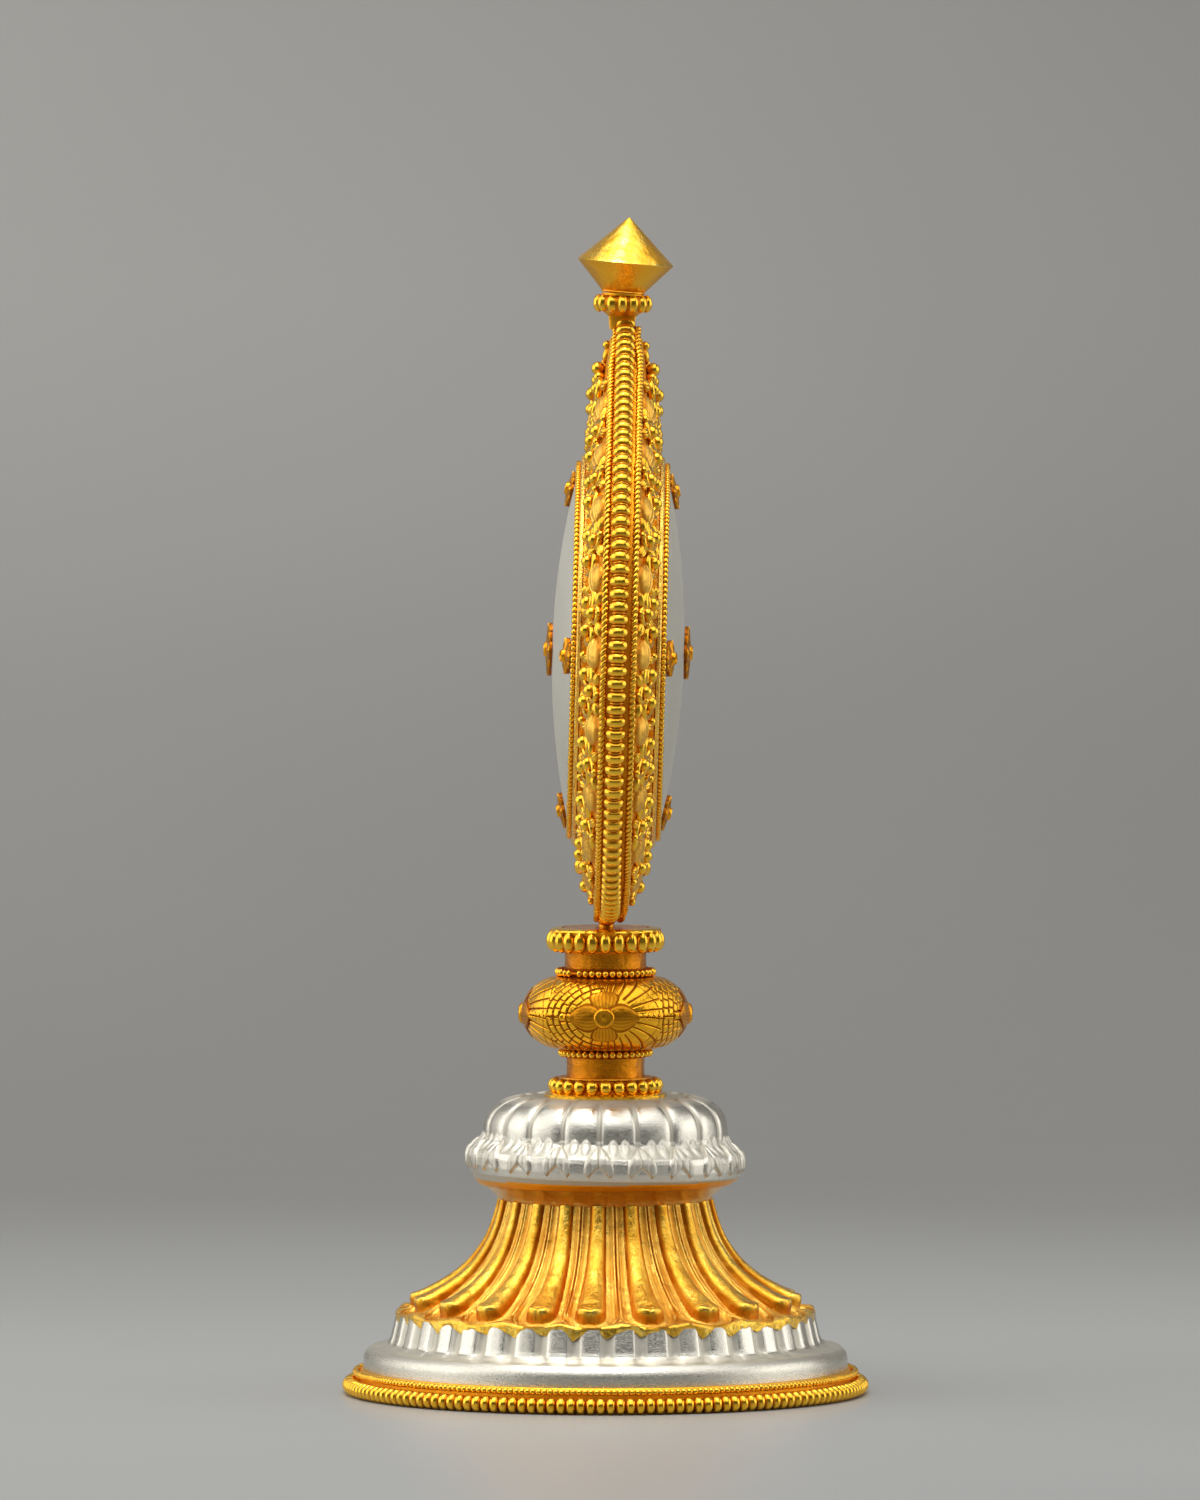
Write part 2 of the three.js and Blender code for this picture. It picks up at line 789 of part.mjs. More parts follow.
function build() {
  const part = new THREE.Group();
  part.name = "ritual_mirror";
  const head = new THREE.Group();
  head.name = "head";

  const add = (name, geometry, look, parent = part) => {
    const mesh = new THREE.Mesh(geometry, new THREE.MeshStandardMaterial(look));
    mesh.name = name;
    parent.add(mesh);
    return mesh;
  };

  const plateMiddle = flangeLipThickness + footPlateRise;
  const nutTop = plateMiddle - washerThickness;
  add("foot_flange", footFlange(), gold);
  add("foot_plate", footPlate(), gold);
  add(
    "foot_bead_ring",
    beadedRing({
      radius: footRingRadius,
      z: footBeadRadius,
      count: footBeadCount,
      across: footBeadRadius,
      up: footBeadRadius,
      neck: footBeadNeck / footBeadRadius,
    }),
    gold,
  );
  const ropeRing = flangeRadius + clearance + footRopeRadius;
  const ropeLevel = 2 * footBeadRadius + clearance + footRopeRadius;
  const ropeSection = wireSection(ropeRing, ropeLevel, footRopeRadius, footRopeRadius, 4);
  add("foot_rope_ring", turned(ropeSection, 32), gold);
  add("plinth", plinth(), silver);
  add("lotus_skirt", lotusSkirt(), gold);
  add("cup_throat", cupThroat(), redGold);
  add("lotus_cup", lotusCup(), silver);

  add("lower_bead_collar", lowerCollar(), gold);
  const lowerNeckBore = lowerNeckRadius - neckWall;
  add("lower_neck", tube(lowerNeckRadius, lowerNeckBore, lowerCollarTop, lowerNeckTop, 16), gold);
  const stemWire = (seatRadius, level) => {
    const radius = seatRadius + clearance + stemWireRadius;
    return turned(wireSection(radius, level, stemWireRadius, stemWireRadius, 4), 24);
  };
  const wireInset = knopEndRise / 2;
  add("knop_lower_wire", stemWire(lowerNeckRadius, lowerNeckTop + wireInset), gold);
  add(
    "knop_lower",
    knopHalf({ side: -1, height: knopLowerHeight, seatRadius: lowerNeckRadius, end: lowerNeckTop }),
    gold,
  );
  add(
    "knop_upper",
    knopHalf({ side: 1, height: knopUpperHeight, seatRadius: knopTopSeatRadius, end: knopTop }),
    gold,
  );
  for (let i = 0; i < knopFlowerCount; i++) {
    add(`knop_flower_${i + 1}`, knopFlower((2 * Math.PI * i) / knopFlowerCount), gold);
  }
  add("knop_upper_wire", stemWire(knopTopSeatRadius, knopTop - wireInset), gold);
  add("upper_neck", tube(upperNeckRadius, upperNeckRadius - neckWall, knopTop, upperNeckTop, 16), gold);
  add("socket_collar", socketCollar(), gold);
  add("socket_cup", socketCup(), gold);
  const rodTop = socketCollarTop - socketDepth - socketFloor;
  const rodFoot = nutTop - nutThickness - rodBelowNut;
  add("tie_rod", rod(rodRadius, rodFoot, rodTop, 12), steel);
  add("tie_washer", tube(washerRadius, boreRadius, nutTop, plateMiddle, 16), steel);
  add("tie_nut", hexNut(nutTop - nutThickness), steel);

  // The head is drawn about the mirror's centre, then leaned about the collar's top. The tang and
  // the finial share one axis, and the frame with its mirrors lies a little off it.
  const addOnAxis = (name, geometry, look) => {
    add(name, geometry.translate(0, 0, mirrorCentre - socketCollarTop), look, head);
  };
  const addToFrame = (name, geometry, look) => {
    addOnAxis(name, geometry.translate(0, frameShift, 0), look);
  };
  const tangFoot = headFoot - socketDepth + clearance;
  addOnAxis("head_tang", rod(tangRadius, tangFoot, tangTop, 12), steel);
  addOnAxis("tang_block", tangBlock(), steel);
  addToFrame("rim_bead_wire", cut(rimBeads(), wireGap()), gold);
  for (const [side, face] of [["front", 1], ["back", -1]]) {
    addToFrame(`frame_shell_${side}`, cut(frameShell(face), framePassage()), gold);
    addToFrame(`rim_rope_${side}`, cut(rimRope(face), framePassage()), gold);
    addToFrame(`bezel_band_${side}`, bezelBand(face), gold);
    addToFrame(`bezel_wire_${side}`, bezelWire(face), gold);
    addToFrame(`mirror_${side}`, mirrorDome(face), mirrorSilver);
    addToFrame(`flower_${side}_1`, mirrorFlower(face, 0, 0, centreFlowerRadius), gold);
    for (let i = 0; i < 4; i++) {
      const small = mirrorFlower(face, sideFlowerRing, (Math.PI * i) / 2, sideFlowerRadius);
      addToFrame(`flower_${side}_${i + 2}`, small, gold);
    }
  }
  const neckFoot = apexTop + clearance;
  const neckTop = neckFoot + finialNeckHeight;
  addOnAxis("finial_neck", rod(finialNeckRadius, neckFoot, neckTop, 12), gold);
  addOnAxis(
    "finial_bead_ring",
    beadedRing({
      radius: finialRingRadius,
      z: neckFoot + finialNeckHeight / 2,
      count: finialBeadCount,
      across: finialBeadAcross,
      up: finialBeadUp,
      neck: 0.6,
    }),
    gold,
  );
  addOnAxis("finial_jewel", jewel(), gold);
  head.position.set(0, leanShift, socketCollarTop);
  head.rotation.x = -lean;
  part.add(head);
  return part;
}

export default build();
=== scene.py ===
"""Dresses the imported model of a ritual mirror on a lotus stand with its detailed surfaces.

The shapes are worked out in millimetres and placed in metres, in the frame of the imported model.
"""

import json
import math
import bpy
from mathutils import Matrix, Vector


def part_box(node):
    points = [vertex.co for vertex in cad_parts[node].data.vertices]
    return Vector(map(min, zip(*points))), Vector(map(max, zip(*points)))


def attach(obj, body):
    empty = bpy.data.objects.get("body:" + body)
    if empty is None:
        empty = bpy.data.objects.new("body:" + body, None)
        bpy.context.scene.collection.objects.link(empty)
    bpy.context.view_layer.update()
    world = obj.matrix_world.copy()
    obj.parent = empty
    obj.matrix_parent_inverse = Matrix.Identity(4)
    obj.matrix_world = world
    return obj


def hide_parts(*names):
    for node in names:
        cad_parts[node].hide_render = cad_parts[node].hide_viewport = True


bl_info = {
    "name": "Lotus Stand Ritual Mirror",
    "version": (1, 1, 0),
    "blender": (4, 5, 0),
    "location": "View3D > Sidebar > Mirror",
    "description": "Beads, ropes, scrolls, lotus petals and finishes of a gilt and silver ritual mirror",
    "category": "Add Mesh",
}

from types import SimpleNamespace

import bmesh
import bpy
from bpy.props import FloatProperty, FloatVectorProperty, IntProperty, PointerProperty
from mathutils import Matrix, Vector, noise

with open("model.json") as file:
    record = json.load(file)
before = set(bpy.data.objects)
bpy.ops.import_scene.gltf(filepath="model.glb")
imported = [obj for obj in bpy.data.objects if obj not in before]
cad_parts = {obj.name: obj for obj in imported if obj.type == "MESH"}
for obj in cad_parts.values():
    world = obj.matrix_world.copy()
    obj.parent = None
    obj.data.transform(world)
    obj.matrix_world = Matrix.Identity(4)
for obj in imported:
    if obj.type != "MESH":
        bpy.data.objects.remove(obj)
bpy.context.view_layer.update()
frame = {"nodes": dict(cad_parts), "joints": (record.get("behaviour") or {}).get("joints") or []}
MM = 0.001
TURN = 2 * math.pi
UP = Vector((0, 0, 1))
FACES = (("front", -1), ("back", 1))


def length(name, description, millimetres):
    """A size that shows in the sidebar in scene units."""
    return FloatProperty(
        name=name, description=description, default=millimetres * MM, min=0.0, unit="LENGTH", precision=5
    )


def angle_size(name, description, degrees):
    return FloatProperty(name=name, description=description, default=math.radians(degrees), subtype="ANGLE")


def colour(name, description, red, green, blue):
    return FloatVectorProperty(
        name=name, description=description, default=(red, green, blue), min=0, max=1, subtype="COLOR"
    )


def foot_of(node):
    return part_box(node)[0].z / MM


def top_of(node):
    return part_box(node)[1].z / MM


def reach_of(node):
    """How far the node reaches from the stand's axis."""
    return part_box(node)[1].x / MM


class FootSizes(bpy.types.PropertyGroup):
    bead_count: IntProperty(name="Beads", description="Beads round the foot", default=164, min=12)
    bead_radius: length("Bead radius", "Half the height of a foot bead", 1.8)
    rope_count: IntProperty(name="Fine beads", description="Fine beads above the foot", default=270, min=12)
    rope_radius: length("Fine bead radius", "Half the height of a fine bead", 0.7)


class PlinthSizes(bpy.types.PropertyGroup):
    panels: IntProperty(name="Panels", description="Upright panels round the plinth", default=40, min=8)
    panel_turn: angle_size("Panel turn", "Where the first panel stands", -3.9)
    panel_swell: length("Panel swell", "How far a panel stands out of its grooves", 0.42)


class SkirtSizes(bpy.types.PropertyGroup):
    petals: IntProperty(name="Petals", description="Petals round the lotus skirt", default=20, min=6)
    petal_turn: angle_size("Petal turn", "Where the first petal stands", -4.0)
    neck_radius: length("Neck radius", "Radius of the troughs at the neck", 22.3)
    toe_radius: length("Toe radius", "Radius at the blunt ends of the toes", 41.4)
    rib_at_neck: length("Rib at neck", "Half the rib's width at the neck", 1.4)
    rib_at_toe: length("Rib at toe", "Half the rib's width at the toe", 3.15)


class CupSizes(bpy.types.PropertyGroup):
    lobe_turn: angle_size("Lobe turn", "Where the first lobe stands", 6.3)
    lobe_swell: length("Lobe swell", "How far a lobe stands out of the valleys", 0.95)
    lip_lean: length("Lip lean", "How far the lip drops on its low side", 0.65)


class StemSizes(bpy.types.PropertyGroup):
    lower_beads: IntProperty(name="Lower collar", description="Beads round the lower collar", default=24, min=8)
    socket_beads: IntProperty(name="Socket collar", description="Beads round the socket collar", default=25, min=8)
    lower_wire_beads: IntProperty(name="Lower wire", description="Beads under the knop", default=40, min=8)
    upper_wire_beads: IntProperty(name="Upper wire", description="Beads over the knop", default=44, min=8)
    knop_radius: length("Knop radius", "Radius of the knop at its equator", 17.5)
    engraving: length("Engraving depth", "Depth of the engraved lines", 0.32)
    engraving_half: length("Engraving width", "Half the width of the engraved lines", 0.22)


class HeadSizes(bpy.types.PropertyGroup):
    centre_height: length("Centre height", "Mirror centre above the collar", 58.7)
    frame_shift: length("Frame shift", "From the tang's axis to the frame's middle plane", 1.0)
    rim_radius: length("Rim radius", "Radius of the rim wire round the mirror", 56.5)
    apex_radius: length("Apex radius", "Mirror centre to the rim wire's apex", 69.2)
    rim_beads: IntProperty(name="Rim beads", description="Beads along the rim wire", default=137, min=12)
    rim_bead: length("Rim bead radius", "Half the height of a rim bead", 1.92)
    rope: length("Rope radius", "Radius of the grained ropes beside the rim wire", 0.7)
    rope_offset: length("Rope offset", "Middle plane to each rope", 3.05)
    rope_grain: length("Rope grain", "Length of one grain of a rope", 1.25)
    scrolls: IntProperty(name="Scrolls", description="Leaf and vine units on each face", default=20, min=4)
    bezel_radius: length("Bezel radius", "Outer radius of the plain band", 41.4)
    bezel_beads: IntProperty(name="Bezel beads", description="Fine beads round each mirror", default=214, min=12)


class FinialSizes(bpy.types.PropertyGroup):
    beads: IntProperty(name="Finial beads", description="Beads under the jewel", default=14, min=6)
    neck_height: length("Neck height", "Height of the finial's neck", 3.9)
    jewel_radius: length("Jewel radius", "Widest radius of the jewel", 10.2)
    jewel_tilt: angle_size("Jewel tilt", "How far the jewel leans beyond the head", 3.5)


class Finishes(bpy.types.PropertyGroup):
    gold: colour("Gold", "Polished gilding", 1.0, 0.57, 0.045)
    # Painted highlight: paler gold laid in streaks on polished crests in place of bright reflections
    painted_highlight_gold: colour("Glint gold", "Brushed streaks on polished gilding", 1.0, 0.7, 0.15)
    knop_gold: colour("Knop gold", "Raised faces of the knop", 1.0, 0.5, 0.026)
    # Painted shade: the dark orange gilding laid in hollows, creases and recesses
    painted_shade_gold: colour("Deep gold", "Gilding in hollows", 0.52, 0.135, 0.003)
    # Also the painted shade in the hollows of the satin, jewel and wash finishes
    amber_gold: colour("Amber gold", "Plain gilding of necks and plates", 0.92, 0.41, 0.018)
    # Painted shade: dark gilding in engraved lines and petal grooves
    groove_shade_gold: colour("Line gold", "Gilding in engraved lines", 0.32, 0.085, 0.003)
    pale_gold: colour("Pale gold", "Matte gilding of borders and leaves", 1.0, 0.6, 0.1)
    # Painted shade: dark gilding in the hollows of the matte borders and leaves
    pale_shade_gold: colour("Border gold", "Hollows of the matte gilding", 0.6, 0.2, 0.008)
    silver: colour("Silver", "Burnished silver", 0.75, 0.72, 0.63)
    white_silver: colour("White silver", "Frosted silver in hollows", 0.57, 0.54, 0.46)
    mirror: colour("Mirror", "Brushed silver of the mirrors", 0.95, 0.93, 0.83)
    wash: colour("Gold wash", "Thin gilding over silver", 0.82, 0.5, 0.13)
    steel: colour("Steel", "Hidden ironwork", 0.36, 0.34, 0.32)
    floor: colour("Floor", "Floor under the piece", 0.32, 0.325, 0.318)
    backdrop: colour("Backdrop", "Lit side of the backdrop", 0.345, 0.337, 0.32)
    # Painted shade on the side of the backdrop away from the stronger lamp
    backdrop_shaded_side: colour("Far backdrop", "Unlit side of the backdrop", 0.245, 0.238, 0.225)
    # Painted shade at the foot of the backdrop
    backdrop_shaded_foot: colour("Low backdrop", "Foot of the backdrop", 0.245, 0.243, 0.233)


def in_mm(group):
    """The group's sizes as plain values, with lengths in millimetres and angles in radians."""
    values = {}
    for key, prop in group.bl_rna.properties.items():
        if prop.type == "FLOAT" and not prop.is_array:
            values[key] = getattr(group, key) / (MM if prop.unit == "LENGTH" else 1)
        elif prop.type == "INT":
            values[key] = getattr(group, key)
    return SimpleNamespace(**values)


def mix(low, high, share):
    return low + (high - low) * share


def smooth(value, low, high):
    """Rises from 0 to 1 between low and high with soft ends."""
    share = min(1.0, max(0.0, (value - low) / (high - low)))
    return share * share * (3 - 2 * share)


def dome(value):
    """A round bump: 1 at 0, falling to 0 at -1 and 1."""
    return math.sqrt(max(0.0, 1 - value * value))


def line(distance, half_width):
    """A fine line: 1 on it, falling to 0 at its half width."""
    return max(0.0, 1 - abs(distance) / half_width)


def lookup(table, place):
    """The value at a place in a table of (place, value) pairs, by straight lines."""
    for (x0, y0), (x1, y1) in zip(table, table[1:]):
        if place <= x1:
            return mix(y0, y1, max(0.0, (place - x0) / (x1 - x0)))
    return table[-1][1]


def arc(centre_r, centre_z, radius_r, radius_z, start, end, steps):
    """Points on an ellipse, angles in degrees, both ends included."""
    points = []
    for i in range(steps + 1):
        angle = math.radians(mix(start, end, i / steps))
        points.append((centre_r + radius_r * math.cos(angle), centre_z + radius_z * math.sin(angle)))
    return points


def evenly(points, step):
    """The outline again, with points about one step apart."""
    result = []
    for (r0, z0), (r1, z1) in zip(points, points[1:]):
        count = max(1, round(math.hypot(r1 - r0, z1 - z0) / step))
        for i in range(count):
            result.append((mix(r0, r1, i / count), mix(z0, z1, i / count)))
    result.append(points[-1])
    return result


def normals(points):
    """Unit normals to the right of an outline's direction of travel."""
    result = []
    for i in range(len(points)):
        r0, z0 = points[max(0, i - 1)]
        r1, z1 = points[min(len(points) - 1, i + 1)]
        size = math.hypot(r1 - r0, z1 - z0) or 1.0
        result.append(((z1 - z0) / size, (r0 - r1) / size))
    return result


def on_circle(radius, z, angle):
    return Vector((radius * math.cos(angle), radius * math.sin(angle), z))


# The share of the way along a bead, its radius there, and its painted shade: 0 in a hollow, 1 on a crest
ROUND_BEAD = (
    (0.0, 0.5, 0.0),
    (0.07, 0.66, 0.35),
    (0.16, 0.84, 0.8),
    (0.3, 0.97, 1.0),
    (0.5, 1.0, 1.0),
    (0.7, 0.97, 1.0),
    (0.84, 0.84, 0.8),
    (0.93, 0.66, 0.35),
)
BARREL_BEAD = (
    (0.0, 0.74, 0.6),
    (0.055, 0.71, 0.4),
    (0.1, 0.6, 0.0),
    (0.16, 0.8, 0.6),
    (0.27, 0.94, 1.0),
    (0.42, 1.0, 1.0),
    (0.58, 1.0, 1.0),
    (0.73, 0.94, 1.0),
    (0.84, 0.8, 0.6),
    (0.9, 0.6, 0.0),
    (0.945, 0.71, 0.4),
)
GRAIN = (
    (0.0, 0.62, 0.0),
    (0.2, 0.93, 0.9),
    (0.5, 1.0, 1.0),
    (0.8, 0.93, 0.9),
)


class Skin:
    """Collects the vertices, faces and shades of one piece, in millimetres."""

    def __init__(self):
        self.vertices = []
        self.faces = []
        self.shades = []

    def add(self, vertices, faces, shades=None):
        start = len(self.vertices)
        self.vertices.extend(vertices)
        self.faces.extend(tuple(start + i for i in face) for face in faces)
        self.shades.extend(shades or [1.0] * len(vertices))

    def sweep(self, sections, closed=True, shades=None):
        """Joins closed sections, each to the next. An open sweep gets an end face at each end."""
        size, count = len(sections[0]), len(sections)
        faces = []
        for i in range(count if closed else count - 1):
            here, there = i * size, ((i + 1) % count) * size
            for j in range(size):
                k = (j + 1) % size
                faces.append((here + j, there + j, there + k, here + k))
        if not closed:
            faces.append(tuple(range(size - 1, -1, -1)))
            faces.append(tuple((count - 1) * size + j for j in range(size)))
        self.add([point for section in sections for point in section], faces, shades)

    def turned(self, columns, outline):
        """A body of closed outlines round the Z axis. outline(angle) gives (r, z) or (r, z, shade)."""
        sections, shades = [], []
        for i in range(columns):
            angle = TURN * i / columns
            points = outline(angle)
            sections.append([on_circle(point[0], point[1], angle) for point in points])
            shades.extend(point[2] if len(point) > 2 else 1.0 for point in points)
        self.sweep(sections, shades=shades)

    def bead(self, centre, out, up, sizes, columns=12, rows=8):
        """A round or squeezed bead. sizes are its half sizes out, up and along."""
        along = out.cross(up)
        vertices, shades = [centre + up * sizes[1]], [1.0]
        for i in range(1, rows):
            lift, reach = math.cos(math.pi * i / rows), math.sin(math.pi * i / rows)
            for j in range(columns):
                angle = TURN * j / columns
                side = out * (sizes[0] * math.cos(angle)) + along * (sizes[2] * math.sin(angle))
                vertices.append(centre + up * (sizes[1] * lift) + side * reach)
                # Painted shade: the side turned away from out is darker, and so is the bottom point
                shades.append(0.35 + 0.65 * smooth(math.cos(angle), -0.1, 0.55))
        vertices.append(centre - up * sizes[1])
        shades.append(0.6)
        last = len(vertices) - 1
        faces = []
        for j in range(columns):
            k = (j + 1) % columns
            faces.append((0, 1 + k, 1 + j))
            faces.append((last, last - columns + j, last - columns + k))
            for i in range(rows - 2):
                here = 1 + i * columns
                faces.append((here + j, here + k, here + columns + k, here + columns + j))
        self.add(vertices, faces, shades)

    def tube(self, points, radii, sides=8):
        """A tube along points, with its own radius at each."""
        sections = []
        side = None
        for i, point in enumerate(points):
            run = (points[min(len(points) - 1, i + 1)] - points[max(0, i - 1)]).normalized()
            if side is None:
                side = run.orthogonal()
            side = (side - run * side.dot(run)).normalized()
            other = run.cross(side)
            ring = []
            for j in range(sides):
                angle = TURN * j / sides
                ring.append(point + (side * math.cos(angle) + other * math.sin(angle)) * radii[i])
            sections.append(ring)
        self.sweep(sections, closed=False)

    def beaded_wire(self, path, span, count, profile, sizes, sides=14, gap=0.0, wobble=0.04, slant=0.0):
        """A wire cut into beads. path(run) gives its centre and two directions across it.

        A gap leaves the wire open on each side of the run's start. A slant twists the beads
        into the strands of a rope.
        """
        pitch = span / count
        sections, shades = [], []
        for i in range(count):
            lump = Vector((i * 0.73, sizes[0], 1.7))
            swell = 1 + wobble * noise.noise(lump)
            slip = wobble * 2 * noise.noise(lump * 1.9)
            for share, size, shade in profile:
                run = pitch * (i + share)
                if gap and not gap < run < span - gap:
                    continue
                centre, out, up = path(run)
                twist = out.cross(up) * slant
                ring = []
                for j in range(sides):
                    angle = TURN * j / sides
                    reach = out * (sizes[0] * math.cos(angle)) + up * (sizes[1] * math.sin(angle))
                    ring.append(centre + up * slip + reach * (size * swell) + twist * math.sin(angle))
                sections.append(ring)
                shades.extend([shade] * sides)
        self.sweep(sections, closed=not gap, shades=shades)


def ring_path(radius, z):
    """A path round the Z axis for a beaded wire."""

    def path(run):
        out = on_circle(1, 0, run / radius)
        return out * radius + UP * z, out, UP

    return path


def piece(name, skin, finish, body, nodes=(), place=None, crease=50, border=None):
    """Makes the object in metres, with its finish, riding on its body in place of the nodes.

    border names a second finish and says, from a face's first vertex, which faces take it.
    """
    mesh = bpy.data.meshes.new(name)
    move = place or Matrix.Identity(4)
    mesh.from_pydata([(move @ Vector(v)) * MM for v in skin.vertices], [], skin.faces)
    work = bmesh.new()
    work.from_mesh(mesh)
    bmesh.ops.recalc_face_normals(work, faces=work.faces)
    work.to_mesh(mesh)
    work.free()
    mesh.attributes.new("shade", "FLOAT", "POINT").data.foreach_set("value", skin.shades)
    mesh.polygons.foreach_set("use_smooth", [True] * len(mesh.polygons))
    mesh.set_sharp_from_angle(angle=math.radians(crease))
    mesh.materials.append(FINISH[finish])
    if border:
        mesh.materials.append(FINISH[border[0]])
        for face in mesh.polygons:
            face.material_index = int(border[1](min(face.vertices)))
    obj = bpy.data.objects.new(name, mesh)
    bpy.context.scene.collection.objects.link(obj)
    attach(obj, body)
    if nodes:
        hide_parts(*nodes)
    return obj


# Finishes


class Nodes:
    """Adds linked shader nodes to one tree in few words."""

    def __init__(self, tree):
        self.tree = tree
        tree.nodes.clear()

    def add(self, kind, settings=None, **inputs):
        node = self.tree.nodes.new(kind)
        for key, value in (settings or {}).items():
            setattr(node, key, value)
        for key, value in inputs.items():
            self.put(node, key.replace("_", " "), value)
        return node

    def put(self, node, key, value):
        socket = node.inputs[int(key[1:])] if key[0] == "i" and key[1:].isdigit() else node.inputs[key]
        if isinstance(value, bpy.types.NodeSocket):
            self.tree.links.new(value, socket)
        else:
            socket.default_value = value

    def noise(self, place, scale, detail=4.0, roughness=0.6):
        node = self.add("ShaderNodeTexNoise", Vector=place, Scale=scale, Detail=detail, Roughness=roughness)
        return node.outputs["Fac"]

    def spread(self, value, low, high, to_low=0.0, to_high=1.0):
        node = self.add("ShaderNodeMapRange", None, i0=value, i1=low, i2=high, i3=to_low, i4=to_high)
        node.clamp = True
        return node.outputs["Result"]

    def math(self, operation, first, second, third=0.0):
        node = self.add("ShaderNodeMath", {"operation": operation}, i0=first, i1=second)
        if operation == "MULTIPLY_ADD":
            self.put(node, "i2", third)
        return node.outputs[0]

    def blend(self, factor, first, second):
        node = self.add("ShaderNodeMix", {"data_type": "RGBA"}, Factor=factor)
        self.put(node, "i6", first)
        self.put(node, "i7", second)
        return node.outputs[2]


def rgba(value):
    return (value[0], value[1], value[2], 1.0)


def worn_metal_with_painted_shade(
    name, bright, deep, polished, matte, streak, grain, dent=0.0006, wear=0.7, hollow=(0.44, 0.53), painted_highlight=None
):
    """Metal that is bright and polished on its crests, and deep and matte in its hollows; on gilding the deep colour is
    painted shade, while on silver the frosted colour is real.

    The hollows come from the surface's bends and from the painted shade that the piece carries, and noise patches add
    real wear. streak stretches the brushing marks, grain is their strength, and dent is the depth of hammer marks.
    The last argument is a painted highlight colour, laid in paler streaks along the brushing on the crests, where a
    finish has one.
    """
    material = bpy.data.materials.new(name)
    material.use_nodes = True
    nodes = Nodes(material.node_tree)
    place = nodes.add("ShaderNodeTexCoord").outputs["Object"]
    along = nodes.add("ShaderNodeMapping", None, Vector=place, Scale=streak).outputs[0]
    patches = nodes.noise(place, 110.0)
    fine = nodes.noise(along, 900.0, 6.0, 0.7)
    dents = nodes.noise(place, 330.0, 3.0, 0.5)
    pointiness = nodes.add("ShaderNodeNewGeometry").outputs["Pointiness"]
    shade = nodes.add("ShaderNodeAttribute", {"attribute_name": "shade"}).outputs["Fac"]
    # Painted shade: hollows found by pointiness and by the piece's painted shade take the deep colour; the noise
    # patches are real wear
    raised = nodes.math("MULTIPLY", nodes.spread(pointiness, hollow[0], hollow[1]), shade)
    factor = nodes.math("ADD", raised, nodes.math("MULTIPLY_ADD", patches, wear, -wear / 2))
    factor.node.use_clamp = True
    colour_out = nodes.blend(factor, rgba(deep), rgba(bright))
    # Painted highlight: paler streaks on the crests stand in for bright reflections
    if painted_highlight:
        streaks = nodes.spread(nodes.noise(along, 400.0, 3.0, 0.6), 0.42, 0.62)
        highlight_on_crest = nodes.math("MULTIPLY", streaks, nodes.spread(factor, 0.5, 0.95))
        colour_out = nodes.blend(highlight_on_crest, colour_out, rgba(painted_highlight))
    brushed = nodes.spread(fine, 0.3, 0.7, -0.06, 0.08)
    rough = nodes.math("ADD", nodes.spread(factor, 0.0, 1.0, matte, polished), brushed)
    fine_bump = nodes.add("ShaderNodeBump", None, Strength=grain, Distance=0.00012, Height=fine)
    dent_bump = nodes.add(
        "ShaderNodeBump", None, Strength=grain, Distance=dent, Height=dents, Normal=fine_bump.outputs[0]
    )
    shader = nodes.add("ShaderNodeBsdfPrincipled", None, Metallic=1.0, Roughness=rough)
    nodes.put(shader, "Base Color", colour_out)
    nodes.put(shader, "Normal", dent_bump.outputs[0])
    out = nodes.add("ShaderNodeOutputMaterial")
    nodes.put(out, "Surface", shader.outputs[0])
    return material


FINISH = {}


